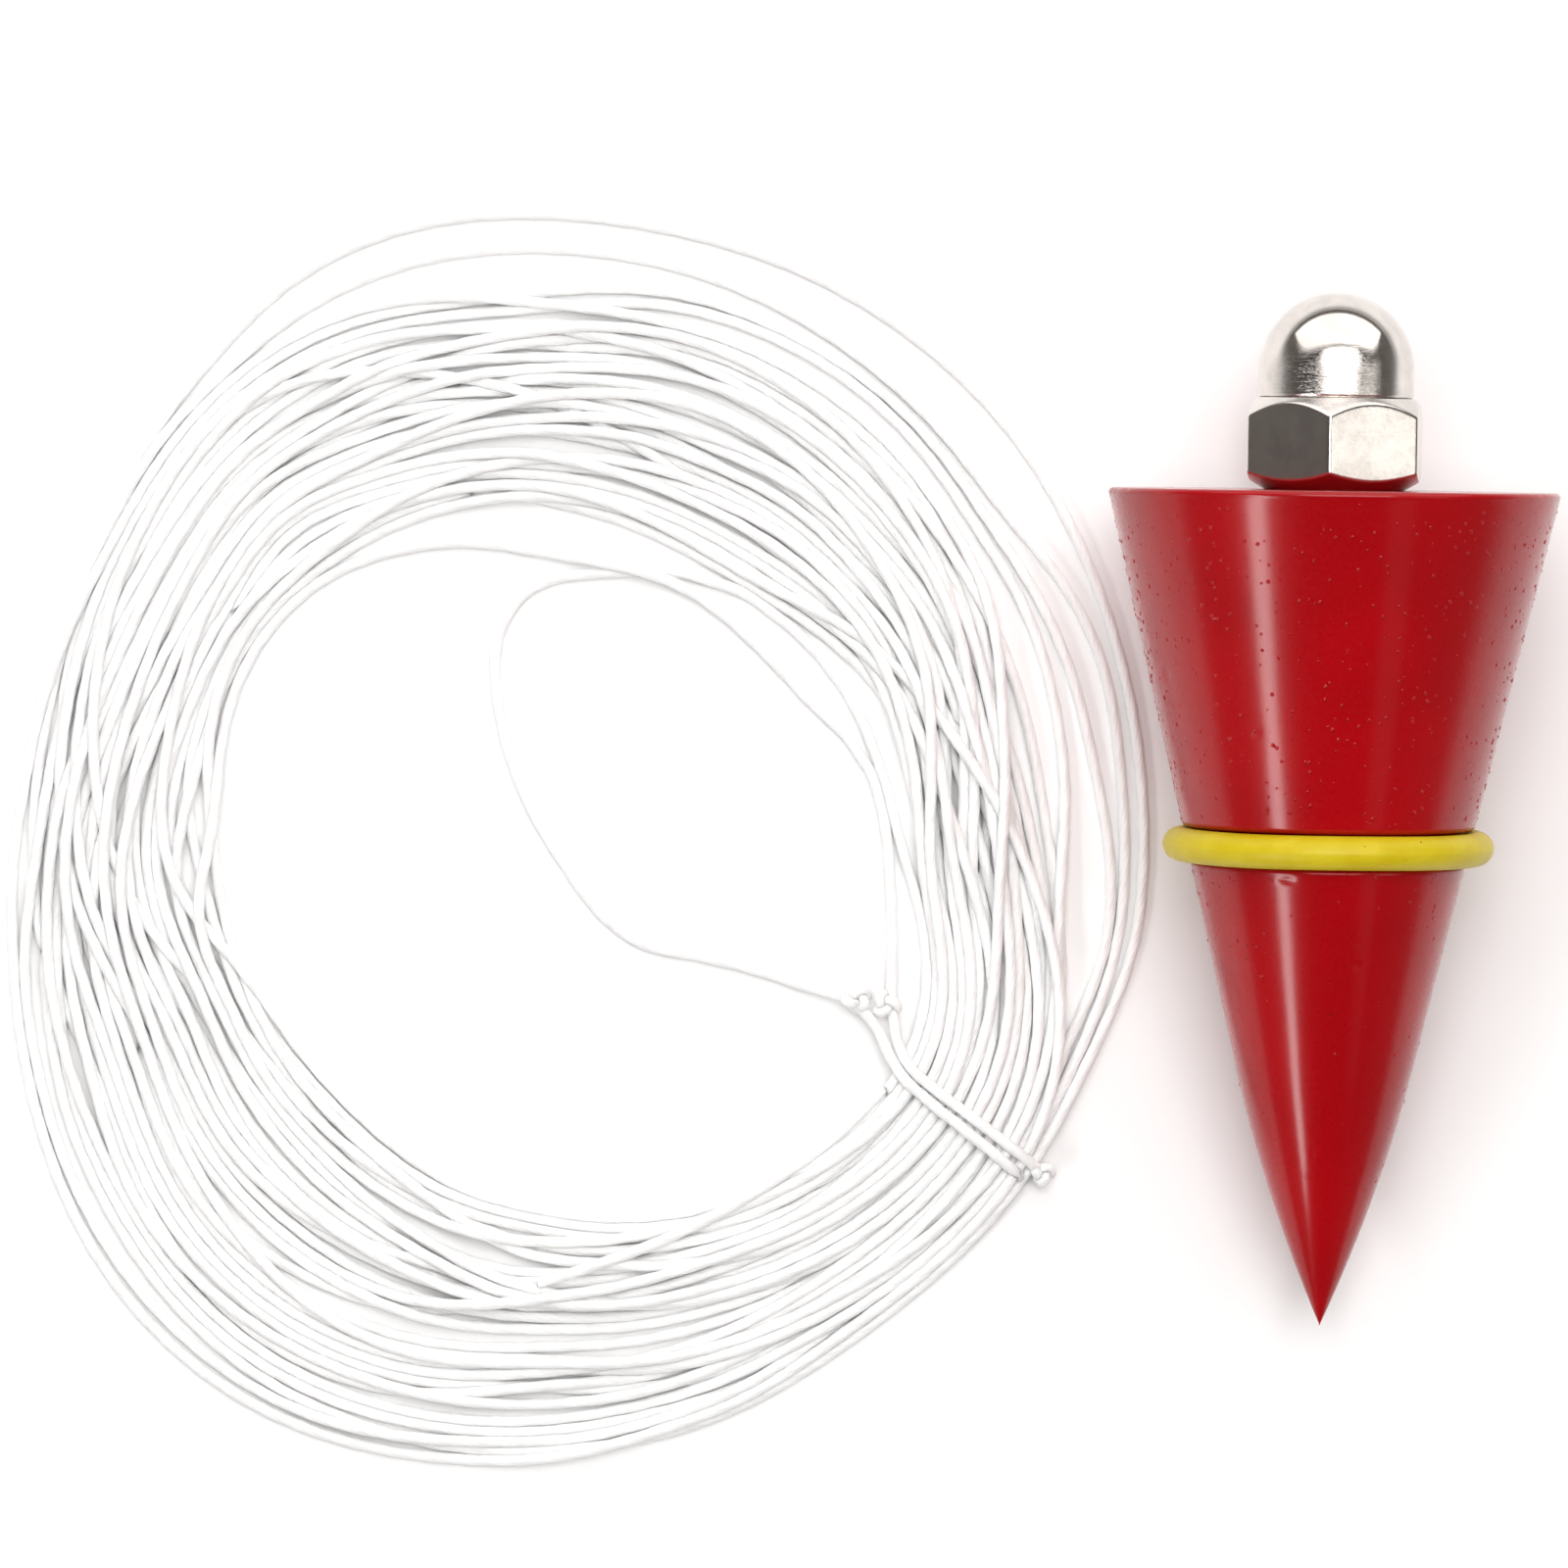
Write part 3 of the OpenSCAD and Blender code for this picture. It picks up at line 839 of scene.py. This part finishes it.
# Small damage in the paint: angle from the upper side towards +X, distance down, half width,
# half height, depth.
DAMAGE = (
    (-67.0, 18.6, 0.7, 0.75, 0.16), (-21.0, 38.5, 1.0, 0.22, 0.14), (-84.0, 0.25, 0.6, 0.5, 0.22),
    (-78.0, 0.3, 0.35, 0.35, 0.18), (-70.0, 0.15, 0.5, 0.3, 0.12), (62.0, 0.2, 0.4, 0.3, 0.12),
    (71.0, 7.6, 0.3, 0.3, 0.09), (73.0, 9.2, 0.25, 0.25, 0.08), (-29.0, 24.0, 0.4, 0.35, 0.06),
    (24.0, 14.0, 0.45, 0.4, 0.05), (-48.0, 9.0, 0.5, 0.3, 0.05), (12.0, 47.0, 0.35, 0.4, 0.05),
    (150.0, 12.0, 0.8, 0.6, 0.12), (200.0, 30.0, 0.6, 0.5, 0.1), (118.0, 0.2, 0.6, 0.4, 0.2),
    (-140.0, 0.25, 0.5, 0.4, 0.18), (30.0, 74.0, 0.2, 0.3, 0.04), (-12.0, 66.0, 0.25, 0.3, 0.05),
)


def worn(radius, height, angle):
    """The body's rings with paint swells and its small dents and chips."""
    turn = np.degrees(angle) + 90
    outside = radius > 6
    swell = ripple(angle, height, 3, 0.015, 5, 40) + ripple(angle, height, 5, 0.0012, 26, 9)
    radius = radius + np.where(outside & (height < -1), swell, 0)
    for at, down, wide, high, deep in DAMAGE:
        off = (turn - at + 180) % 360 - 180
        away = (np.radians(off) * np.maximum(radius, 1) / wide) ** 2 + ((height + down) / high) ** 2
        rim = np.exp(-((np.sqrt(away) - 1.25) ** 2) * 9) * 0.22
        radius = radius - deep * np.where(outside, np.exp(-away) - rim, 0)
    return radius, height


def thread_depth(height, angle, pitch, depth):
    """How far a 60 degree thread is cut in at each place: 0 on its crest, depth in its root."""
    t = (height / pitch - angle / (2 * math.pi)) % 1.0
    ramp = np.clip((abs(t - 0.5) * 2 - 0.12) / 0.72, 0, 1)
    return depth * (1 - ramp)


def hexagon(rows, columns):
    """Rings of the nut's hexagon, with both ends chamfered and its edges just broken."""
    level = np.r_[
        np.linspace(0, 2.0, 44),
        np.linspace(2.0, HEX_H - 2.2, rows)[1:-1],
        np.linspace(HEX_H - 2.2, HEX_H, 44),
    ]
    sector = np.sin(np.linspace(-math.pi / 2, math.pi / 2, columns, endpoint=False)) * math.pi / 6
    angle = (sector[None, :] + np.arange(6)[:, None] * math.pi / 3).ravel() + math.radians(HEX_TURN + 30)
    # every surface that bounds the nut, joined by a soft minimum that rounds their edges
    facing = math.radians(HEX_TURN + 30) + np.arange(6) * math.pi / 3
    lean = np.cos(angle[None, :] - facing[:, None])
    flats = np.where(lean > 0.3, HEX_FLAT_R / np.maximum(lean, 0.3), 40.0)
    soft = 0.09
    sides = -soft * np.log(np.exp(-flats / soft).sum(0))
    above = HEX_TOP_R + (HEX_H - level) / HEX_TOP_SLOPE
    below = HEX_BOTTOM_R + level / HEX_BOTTOM_SLOPE
    found = np.stack(np.broadcast_arrays(sides[None, :], above[:, None], below[:, None]))
    radius = -soft * np.log(np.exp(-found / soft).sum(0))
    ring = np.stack([np.cos(angle), np.sin(angle)], axis=1)
    heights = np.broadcast_to(level[:, None, None], (*radius.shape, 1))
    body = np.concatenate([radius[..., None] * ring[None], heights], -1)
    return body, angle, ring


def nut_rings():
    """The hexagon's outside, its two faces and its threaded bore, as one closed loop of rings."""
    body, angle, ring = hexagon(10, 48)

    def flat(radii, height):
        r = np.array(radii)[:, None, None]
        z = np.array(height, float)[:, None, None]
        return np.concatenate([r * ring[None], np.broadcast_to(z, (len(radii), len(ring), 1))], -1)

    seat = HEX_H - DOME_SEAT
    top = flat(
        [7.88, DOME_R + 0.02, DOME_R + 0.01, DOME_R, THREAD_R + 0.3], [HEX_H, HEX_H, HEX_H - 0.05, seat, seat])
    bottom = flat([6.0, 6.5, 6.92], [0, 0, 0])
    height = np.linspace(seat - 0.05, 0.05, 92)
    near_end = np.minimum(seat - height, height)
    z = np.broadcast_to(height[:, None], (len(height), len(angle)))
    cut = thread_depth(z, np.broadcast_to(angle[None, :], z.shape), PITCH, THREAD_DEPTH)
    fade = soft_step(near_end[:, None] / 0.9)
    radius = THREAD_R + 0.06 - np.minimum(THREAD_DEPTH - cut, THREAD_DEPTH) * fade
    bore = np.concatenate([radius[..., None] * ring[None], z[..., None]], -1)
    mouth = flat([THREAD_R + 0.35], [0.0])
    return np.concatenate([body, top, bore, mouth, bottom])


def dome_rings():
    """The thin domed cap with a hole for the line in its crown."""
    hole = 1.0
    inner = DOME_R - DOME_WALL
    low = -(DOME_CENTRE - HEX_H) - DOME_SEAT
    crown = math.sqrt(DOME_R**2 - 1.3225)
    outer_at = math.degrees(math.acos((hole + 0.15) / DOME_R))
    inner_at = math.degrees(math.acos(hole / inner))
    parts = [
        [(hole, math.sqrt(inner**2 - hole**2)), (hole, crown - 0.15)],
        [(hole + 0.03, crown - 0.06), (hole + 0.08, crown - 0.02)],
        arc((0, 0), DOME_R, outer_at, 0, 72),
        run((DOME_R, 0), (DOME_R, low + DOME_SEAT + 0.25), 18),
        [(DOME_R, low + DOME_SEAT + 0.25), (DOME_R - 0.1, low + DOME_SEAT + 0.1)],
        [(DOME_R - 0.1, low), (inner, low)],
        run((inner, low + 0.2), (inner, 0), 5),
        arc((0, 0), inner, 0, inner_at, 30),
    ]
    profile = np.vstack(parts) + (0, DOME_CENTRE)

    def press_marks(radius, height, angle):
        outside = (radius > inner + 0.3) & (height > HEX_H + 0.3)
        wave = ripple(angle, height, 11, 0.006, 5, 8) + ripple(angle, height, 12, 0.0016, 20, 1.1)
        return radius + np.where(outside, wave * np.minimum(1, radius / 4), 0), height

    return lathe(profile, 240, press_marks)


def groove_ring():
    """Rings round the moulded ring's section, which has a faint parting line."""
    a = np.linspace(0, 2 * math.pi, 256, endpoint=False)
    b = np.linspace(0, 2 * math.pi, 56, endpoint=False)
    section = 1.7 + 0.035 * np.exp(-((np.minimum(b, 2 * math.pi - b) / 0.07) ** 2))
    wave = ripple(a, a * 0, 21, 0.025, 6, 1)
    rise = ripple(a, a * 0, 22, 0.03, 5, 1)
    radius = 14.9 + wave[None, :] * (np.cos(b)[:, None] > -0.2) * 0.5 + section[:, None] * np.cos(b)[:, None]
    height = -GROOVE_DOWN + rise[None, :] + section[:, None] * np.sin(b)[:, None]
    return np.stack([radius * np.cos(a), radius * np.sin(a), height], axis=-1)


# ---------------------------------------------------------------- node trees


class Tree:
    """A Geometry Nodes tree being made, with named inputs."""

    def __init__(self, name):
        self.group = bpy.data.node_groups.new(name, "GeometryNodeTree")
        self.inputs = {}
        self.group.interface.new_socket("Geometry", in_out="INPUT", socket_type="NodeSocketGeometry")
        self.group.interface.new_socket("Geometry", in_out="OUTPUT", socket_type="NodeSocketGeometry")
        self.start = self.group.nodes.new("NodeGroupInput")
        self.stop = self.group.nodes.new("NodeGroupOutput")

    def ask(self, name, kind, value=None):
        socket = self.group.interface.new_socket(name, in_out="INPUT", socket_type="NodeSocket" + kind)
        if value is not None:
            socket.default_value = value
        self.inputs[name] = socket.identifier
        return self.start.outputs[name]

    def node(self, kind, settings=None, sockets=None):
        node = self.group.nodes.new(kind)
        for key, value in (settings or {}).items():
            setattr(node, key, value)
        for key, value in (sockets or {}).items():
            if isinstance(value, bpy.types.NodeSocket):
                self.group.links.new(value, node.inputs[key])
            else:
                node.inputs[key].default_value = value
        return node

    def finish(self, geometry, material):
        real = self.node("GeometryNodeRealizeInstances", {}, {"Geometry": geometry})
        dressed = self.node(
            "GeometryNodeSetMaterial", {}, {"Geometry": real.outputs[0], "Material": material})
        self.group.links.new(dressed.outputs[0], self.stop.inputs[0])


def grown(name, start, tree, values):
    """Runs a tree on an object and returns its result as a plain new object."""
    change = start.modifiers.new(name, "NODES")
    change.node_group = tree.group
    for key, value in values.items():
        change[tree.inputs[key]] = value
    view = bpy.context.evaluated_depsgraph_get()
    mesh = bpy.data.meshes.new_from_object(start.evaluated_get(view), depsgraph=view)
    mesh.name = name
    start.modifiers.remove(change)
    made = bpy.data.objects.new(name, mesh)
    bpy.context.scene.collection.objects.link(made)
    return made


def grit_tree():
    """Low blisters scattered over a surface, denser where its grit value is higher."""
    tree = Tree("paint_grit")
    density = tree.ask("Density", "Float", 0.2)
    seed = tree.ask("Seed", "Int", 4)
    radius = tree.ask("Radius", "Float", 0.0002)
    material = tree.ask("Material", "Material")
    where = tree.node("GeometryNodeInputNamedAttribute", {"data_type": "FLOAT"}, {"Name": "grit"})
    amount = tree.node(
        "ShaderNodeMath", {"operation": "MULTIPLY"}, {0: density, 1: where.outputs["Attribute"]})
    scatter = tree.node("GeometryNodeDistributePointsOnFaces", {"distribute_method": "RANDOM"},
                        {"Mesh": tree.start.outputs["Geometry"], "Density": amount.outputs[0], "Seed": seed})
    ball = tree.node("GeometryNodeMeshUVSphere", {}, {"Segments": 8, "Rings": 5, "Radius": radius})
    flat = tree.node(
        "GeometryNodeTransform", {}, {"Geometry": ball.outputs["Mesh"], "Scale": (1.0, 1.0, 0.42)})
    smooth = tree.node("GeometryNodeSetShadeSmooth", {}, {"Geometry": flat.outputs[0]})
    share = tree.node("FunctionNodeRandomValue", {"data_type": "FLOAT"}, {"Seed": seed})
    share.inputs[2].default_value = 0.35
    share.inputs[3].default_value = 1.25
    placed = tree.node("GeometryNodeInstanceOnPoints", {}, {
        "Points": scatter.outputs["Points"], "Instance": smooth.outputs[0],
        "Rotation": scatter.outputs["Rotation"], "Scale": share.outputs[1]})
    tree.finish(placed.outputs[0], material)
    return tree


def thread_tree():
    """A screw thread: a flat grid rolled into a rod whose radius follows a helix."""
    tree = Tree("screw_thread")
    ask = {name: tree.ask(name, "Float", value) for name, value in
           (("Radius", 4.95), ("Pitch", 1.5), ("Depth", 0.86), ("Length", 27.0), ("Start", -15.0))}
    material = tree.ask("Material", "Material")

    def maths(operation, *values):
        node = tree.node("ShaderNodeMath", {"operation": operation}, dict(enumerate(values)))
        return node.outputs[0]

    grid = tree.node("GeometryNodeMeshGrid", {}, {
        "Size X": 1.0, "Size Y": 1.0, "Vertices X": 97, "Vertices Y": 420})
    place = tree.node("GeometryNodeInputPosition")
    split = tree.node("ShaderNodeSeparateXYZ", {}, {0: place.outputs[0]})
    angle = maths("MULTIPLY", maths("ADD", split.outputs[0], 0.5), 2 * math.pi)
    way = maths("ADD", split.outputs[1], 0.5)
    height = maths("MULTIPLY", ask["Length"], maths("MINIMUM", maths("MAXIMUM", maths(
        "SUBTRACT", maths("MULTIPLY", way, 1.02), 0.01), 0.0), 1.0))
    pitches = maths("DIVIDE", maths("ADD", height, ask["Start"]), ask["Pitch"])
    turn = maths("FLOORED_MODULO", maths("SUBTRACT", pitches, maths("DIVIDE", angle, 2 * math.pi)), 1.0)
    ramp = maths("DIVIDE", maths("SUBTRACT", maths("MULTIPLY", maths(
        "ABSOLUTE", maths("SUBTRACT", turn, 0.5)), 2.0), 0.12), 0.72)
    held = maths("MINIMUM", maths("MAXIMUM", ramp, 0.0), 1.0)
    cut = maths("MULTIPLY", ask["Depth"], maths("SUBTRACT", 1.0, held))
    end = maths("MINIMUM", height, maths("SUBTRACT", ask["Length"], height))
    chamfer = maths("SUBTRACT", maths("ADD", end, ask["Radius"]), 1.0)
    body = maths("MINIMUM", maths("SUBTRACT", ask["Radius"], cut), chamfer)
    edge = maths("MINIMUM", way, maths("SUBTRACT", 1.0, way))
    closing = maths("MINIMUM", maths("MULTIPLY", edge, 101.0), 1.0)
    radius = maths("MULTIPLY", body, closing)
    spot = tree.node("ShaderNodeCombineXYZ", {}, {
        0: maths("MULTIPLY", radius, maths("COSINE", angle)),
        1: maths("MULTIPLY", radius, maths("SINE", angle)),
        2: maths("ADD", height, ask["Start"])})
    rolled = tree.node(
        "GeometryNodeSetPosition", {}, {"Geometry": grid.outputs[0], "Position": spot.outputs[0]})
    closed = tree.node("GeometryNodeMergeByDistance", {}, {"Geometry": rolled.outputs[0], "Distance": 0.0005})
    smooth = tree.node("GeometryNodeSetShadeSmooth", {}, {"Geometry": closed.outputs[0]})
    tree.finish(smooth.outputs[0], material)
    return tree


# ---------------------------------------------------------------- settings


class PlumbBobSizes(bpy.types.PropertyGroup):
    """Finishes of the bob, its ring and its nut."""

    paint: bpy.props.FloatVectorProperty(
        name="Paint", description="Colour of the enamel on the bob", subtype="COLOR", size=3, min=0, max=1,
        default=(0.38, 0.001, 0.004))
    rubber: bpy.props.FloatVectorProperty(
        name="Rubber", description="Colour of the ring in the bob's groove", subtype="COLOR", size=3,
        min=0, max=1, default=(0.60, 0.46, 0.004))
    nickel: bpy.props.FloatVectorProperty(
        name="Nickel", description="Tint of the cap nut's plating", subtype="COLOR", size=3, min=0, max=1,
        default=(0.78, 0.73, 0.69))
    grit: bpy.props.FloatProperty(
        name="Grit", description="Radius of the blisters in the paint", unit="LENGTH", default=0.0002,
        min=0.00005, max=0.001)
    grit_seed: bpy.props.IntProperty(
        name="Grit seed", description="Which of the even scatters of blisters is used", default=4, min=0)


class PlumbLineSizes(bpy.types.PropertyGroup):
    """Size and colour of the line."""

    thick: bpy.props.FloatProperty(
        name="Thickness", description="Diameter of the line", unit="LENGTH", default=0.0011,
        min=0.0005, max=0.002)
    turns: bpy.props.IntProperty(
        name="Turns", description="Number of turns in the coil", default=31, min=28, max=36)
    seed: bpy.props.IntProperty(
        name="Lay", description="Which of the possible lays of the coil is used", default=7, min=0)
    colour: bpy.props.FloatVectorProperty(
        name="Nylon", description="Colour of the line", subtype="COLOR", size=3, min=0, max=1,
        default=(0.97, 0.97, 0.965))


class PlumbStageSizes(bpy.types.PropertyGroup):
    """The floor and lights around the object."""

    floor: bpy.props.FloatVectorProperty(
        name="Floor", description="Colour of the floor", subtype="COLOR", size=3, min=0, max=1,
        default=(0.93, 0.93, 0.93))
    light: bpy.props.FloatProperty(
        name="Light", description="Strength of every lamp, as a share of its usual one", default=1.0,
        min=0, max=4)


# ---------------------------------------------------------------- operators


class PLUMB_OT_camera(bpy.types.Operator):
    """Adds the camera, nearly straight above the set."""

    bl_idname = "plumb.camera"
    bl_label = "Add Camera"

    def execute(self, context):
        lens = bpy.data.cameras.new("camera")
        lens.lens = 180
        lens.sensor_width = 36
        lens.clip_start = 0.01
        camera = bpy.data.objects.new("camera", lens)
        camera.location = (-0.05321, -0.09826, 0.79796)
        camera.rotation_euler = (math.radians(7.3), 0, math.radians(0.85))
        context.scene.collection.objects.link(camera)
        context.scene.camera = camera
        return {"FINISHED"}


class PLUMB_OT_line(bpy.types.Operator):
    """Makes the coil of line with its loop, tie, tail and knots."""

    bl_idname = "plumb.line"
    bl_label = "Make Line"

    def execute(self, context):
        sizes = context.scene.plumb_line
        thick = sizes.thick / MM
        nylon = nylon_finish(sizes.colour)
        route, last = line_route(thick, sizes.turns, sizes.seed)
        _, rings, lay = tube(route, thick)
        line = solid("line", rings, place=lambda p: p * MM, marks=lay, mark_name="lay")
        nodes = [n for n, o in frame["nodes"].items() if o["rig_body"] == "line"]
        finish_with(line, nylon, "nylon_line", "line", *nodes)
        for name, where, size, turn in (
            ("knot_of_loop", (-46.9, -18.3, 1.65), (1.35, 1.05), 20),
            ("knot_of_strand", (-44.0, -18.8, 1.7), (1.1, 1.15), 75),
            ("knot_of_tie", tuple(last + (0.2, -0.15, 0.15)), (0.95, 0.95), 110),
        ):
            knot_route = overhand(where, size, turn)
            closed = np.vstack([knot_route, knot_route[:1]])
            _, knot_rings, knot_lay = tube(closed, thick * 0.92, step=0.45)
            knot = solid(name, knot_rings[:-1], ends=False, wrap=True, place=lambda p: p * MM,
                         marks=knot_lay[:-1], mark_name="lay")
            finish_with(knot, nylon, "nylon_line", "line")
        return {"FINISHED"}


class PLUMB_OT_body(bpy.types.Operator):
    """Makes the painted steel body and the grit in its paint."""

    bl_idname = "plumb.body"
    bl_label = "Make Bob"

    def execute(self, context):
        sizes = context.scene.plumb_bob
        paint = paint_finish(sizes.paint)
        body = solid("bob_body_painted", lathe(bob_profile(), 248, worn))
        finish_with(body, paint, "red_paint", "bob", "bob_body")
        # the grit is denser on the upper half of the cone, and never on the flat top, in the groove
        # or at the point
        down = np.linspace(0.7, BOB_H - 6, 160)
        outline = bob_profile()[40:][::-1]
        skin = lathe(np.stack([np.interp(-down, outline[:, 1], outline[:, 0]), -down], 1), 64)
        made = solid("grit_ground", skin, ends=False)
        amount = np.repeat(np.interp(down, (0.8, 3, 30, 42, 60, 78), (0, 1, 1, 0.35, 0.1, 0.05)), 64)
        amount *= np.repeat(abs(down - GROOVE_DOWN) > GROOVE_W / 2 + 0.5, 64)
        stored = made.data.attributes.new("grit", "FLOAT", "POINT")
        stored.data.foreach_set("value", amount.astype(np.float32))
        grit = grown("paint_grit", made, grit_tree(), {
            "Density": 300000.0, "Seed": sizes.grit_seed, "Radius": sizes.grit, "Material": paint})
        bpy.data.objects.remove(made)
        stored = grit.data.attributes.new("local", "FLOAT_VECTOR", "POINT")
        place = np.empty(len(grit.data.vertices) * 3, np.float32)
        grit.data.vertices.foreach_get("co", place)
        place = (place.reshape(-1, 3) - TOP_M) @ np.stack([SIDE, DOWN, AXIS], axis=1) / MM
        stored.data.foreach_set("vector", place.astype(np.float32).ravel())
        finish_with(grit, paint, "red_paint", "bob")
        return {"FINISHED"}


class PLUMB_OT_ring(bpy.types.Operator):
    """Makes the rubber ring in the bob's groove."""

    bl_idname = "plumb.ring"
    bl_label = "Make Rubber Ring"

    def execute(self, context):
        ring = solid("rubber_ring", groove_ring(), ends=False, wrap=True)
        finish_with(ring, rubber_finish(context.scene.plumb_bob.rubber), "yellow_rubber", "bob", "o_ring")
        return {"FINISHED"}


class PLUMB_OT_stud(bpy.types.Operator):
    """Makes the threaded stud that joins the nut to the bob."""

    bl_idname = "plumb.stud"
    bl_label = "Make Stud"

    def execute(self, context):
        steel = steel_finish()
        blank = bpy.data.objects.new("stud_blank", bpy.data.meshes.new("stud_blank"))
        context.scene.collection.objects.link(blank)
        stud = grown("stud_threaded", blank, thread_tree(), {
            "Length": STUD_UP - STUD_LOW, "Start": STUD_LOW, "Pitch": PITCH, "Radius": THREAD_R - 0.05,
            "Depth": THREAD_DEPTH, "Material": steel})
        bpy.data.objects.remove(blank)
        place = np.empty(len(stud.data.vertices) * 3, np.float32)
        stud.data.vertices.foreach_get("co", place)
        place = place.reshape(-1, 3)
        faces = [list(f.vertices) for f in stud.data.polygons]
        ordered = np.array([f + f[-1:] if len(f) == 3 else f for f in faces])
        if volume(place.astype(float), ordered) < 0:
            stud.data.flip_normals()
        stored = stud.data.attributes.new("local", "FLOAT_VECTOR", "POINT")
        stored.data.foreach_set("vector", place.ravel())
        stud.data.vertices.foreach_set("co", laid(place).astype(np.float32).ravel())
        finish_with(stud, steel, "stud_steel", "stud", "stud")
        return {"FINISHED"}


class PLUMB_OT_nut(bpy.types.Operator):
    """Makes the cap nut: its hexagon and its dome."""

    bl_idname = "plumb.nut"
    bl_label = "Make Cap Nut"

    def execute(self, context):
        nickel = nickel_finish(context.scene.plumb_bob.nickel)
        hexagonal = solid("cap_nut_hexagon", nut_rings(), ends=False, wrap=True)
        finish_with(hexagonal, nickel, "nickel_plate", "cap_nut", "nut_hex")
        dome = solid("cap_nut_dome", dome_rings(), ends=False, wrap=True)
        finish_with(dome, nickel, "nickel_plate", "cap_nut", "nut_dome")
        return {"FINISHED"}


class PLUMB_OT_stage(bpy.types.Operator):
    """Adds the white floor and the soft lights."""

    bl_idname = "plumb.stage"
    bl_label = "Add Floor and Lights"

    def execute(self, context):
        sizes = context.scene.plumb_stage
        mesh = bpy.data.meshes.new("floor")
        w = 4.0
        mesh.from_pydata([(-w, -w, 0), (w, -w, 0), (w, w, 0), (-w, w, 0)], [], [(0, 1, 2, 3)])
        floor = bpy.data.objects.new("floor", mesh)
        floor.data.materials.append(floor_finish(sizes.floor))
        context.scene.collection.objects.link(floor)
        # name, place, what it faces, width, length, strength, colour
        lamps = (
            ("left_strip", (-0.63, -0.56, 0.56), (0, -0.01, 0.02), 0.15, 0.50, 2.8, (1, 0.985, 0.98)),
            ("right_panel", (0.74, -0.16, 0.70), (0, 0, 0.02), 0.36, 0.36, 0.66, (1, 0.985, 0.95)),
            ("right_low", (0.50, -0.56, 0.68), (0, 0.03, 0.02), 0.24, 0.14, 0.04, (1, 0.99, 0.985)),
            ("top_panel", (0.06, 0.10, 1.32), (0, 0, 0), 1.1, 0.9, 14.0, (1, 0.995, 0.99)),
            ("far_panel", (0.0, 1.0, 0.68), (0, 0, 0.02), 3.0, 1.2, 17.0, (1, 0.98, 0.965)),
        )
        for name, place, aim, wide, long, power, colour in lamps:
            data = bpy.data.lights.new(name, "AREA")
            data.shape = "RECTANGLE"
            data.size = wide
            data.size_y = long
            data.energy = power * sizes.light
            data.color = colour
            lamp = bpy.data.objects.new(name, data)
            lamp.location = place
            back = np.array(place) - np.array(aim)
            back /= np.linalg.norm(back)
            lamp.rotation_euler = facing(back)
            context.scene.collection.objects.link(lamp)
        world = bpy.data.worlds.new("studio")
        world.use_nodes = True
        nodes, links = world.node_tree.nodes, world.node_tree.links
        nodes.clear()
        way = nodes.new("ShaderNodeTexCoord")
        split = nodes.new("ShaderNodeSeparateXYZ")
        links.new(way.outputs["Generated"], split.inputs[0])
        ramp = nodes.new("ShaderNodeValToRGB")
        stops = ((0.0, 0.24), (0.3, 0.2), (0.6, 0.07), (0.85, 0.03))
        while len(ramp.color_ramp.elements) < len(stops):
            ramp.color_ramp.elements.new(0.5)
        for element, (at, shade) in zip(ramp.color_ramp.elements, stops):
            element.position = at
            element.color = (shade, shade * 0.93, shade * 0.87, 1)
        links.new(split.outputs[2], ramp.inputs[0])
        light = nodes.new("ShaderNodeBackground")
        light.inputs["Strength"].default_value = 0.7 * sizes.light
        links.new(ramp.outputs[0], light.inputs["Color"])
        out = nodes.new("ShaderNodeOutputWorld")
        links.new(light.outputs[0], out.inputs["Surface"])
        context.scene.world = world
        context.scene.view_settings.view_transform = "Standard"
        return {"FINISHED"}


def facing(back):
    """Turn that points a lamp's own -Z away from back, with its length kept along +Y."""
    z = np.asarray(back)
    y = np.array([0.0, 1.0, 0.0]) - z[1] * z
    if np.linalg.norm(y) < 0.3:
        y = np.array([0.0, 0.0, 1.0]) - z[2] * z
    y /= np.linalg.norm(y)
    x = np.cross(y, z)
    return Matrix(np.stack([x, y, z], axis=1).tolist()).to_euler()


class PLUMB_PT_panel(bpy.types.Panel):
    """Lists the settings and the steps that build the set."""

    bl_idname = "PLUMB_PT_panel"
    bl_label = "Plumb Bob"
    bl_space_type = "VIEW_3D"
    bl_region_type = "UI"
    bl_category = "Plumb Bob"

    def draw(self, context):
        layout = self.layout
        for group in (context.scene.plumb_bob, context.scene.plumb_line, context.scene.plumb_stage):
            box = layout.box()
            for name in group.__annotations__:
                box.prop(group, name)
        for step in STEPS:
            layout.operator(step.bl_idname)


STEPS = (
    PLUMB_OT_camera, PLUMB_OT_line, PLUMB_OT_body, PLUMB_OT_ring, PLUMB_OT_stud, PLUMB_OT_nut, PLUMB_OT_stage,
)
GROUPS = (PlumbBobSizes, PlumbLineSizes, PlumbStageSizes)


def register():
    for kind in (*GROUPS, *STEPS, PLUMB_PT_panel):
        bpy.utils.register_class(kind)
    bpy.types.Scene.plumb_bob = bpy.props.PointerProperty(type=PlumbBobSizes)
    bpy.types.Scene.plumb_line = bpy.props.PointerProperty(type=PlumbLineSizes)
    bpy.types.Scene.plumb_stage = bpy.props.PointerProperty(type=PlumbStageSizes)


def unregister():
    del bpy.types.Scene.plumb_stage
    del bpy.types.Scene.plumb_line
    del bpy.types.Scene.plumb_bob
    for kind in reversed((*GROUPS, *STEPS, PLUMB_PT_panel)):
        bpy.utils.unregister_class(kind)


def main():
    register()
    bpy.ops.plumb.camera()
    bpy.ops.plumb.line()
    bpy.ops.plumb.body()
    bpy.ops.plumb.ring()
    bpy.ops.plumb.stud()
    bpy.ops.plumb.nut()
    bpy.ops.plumb.stage()


if __name__ == "__main__":
    main()
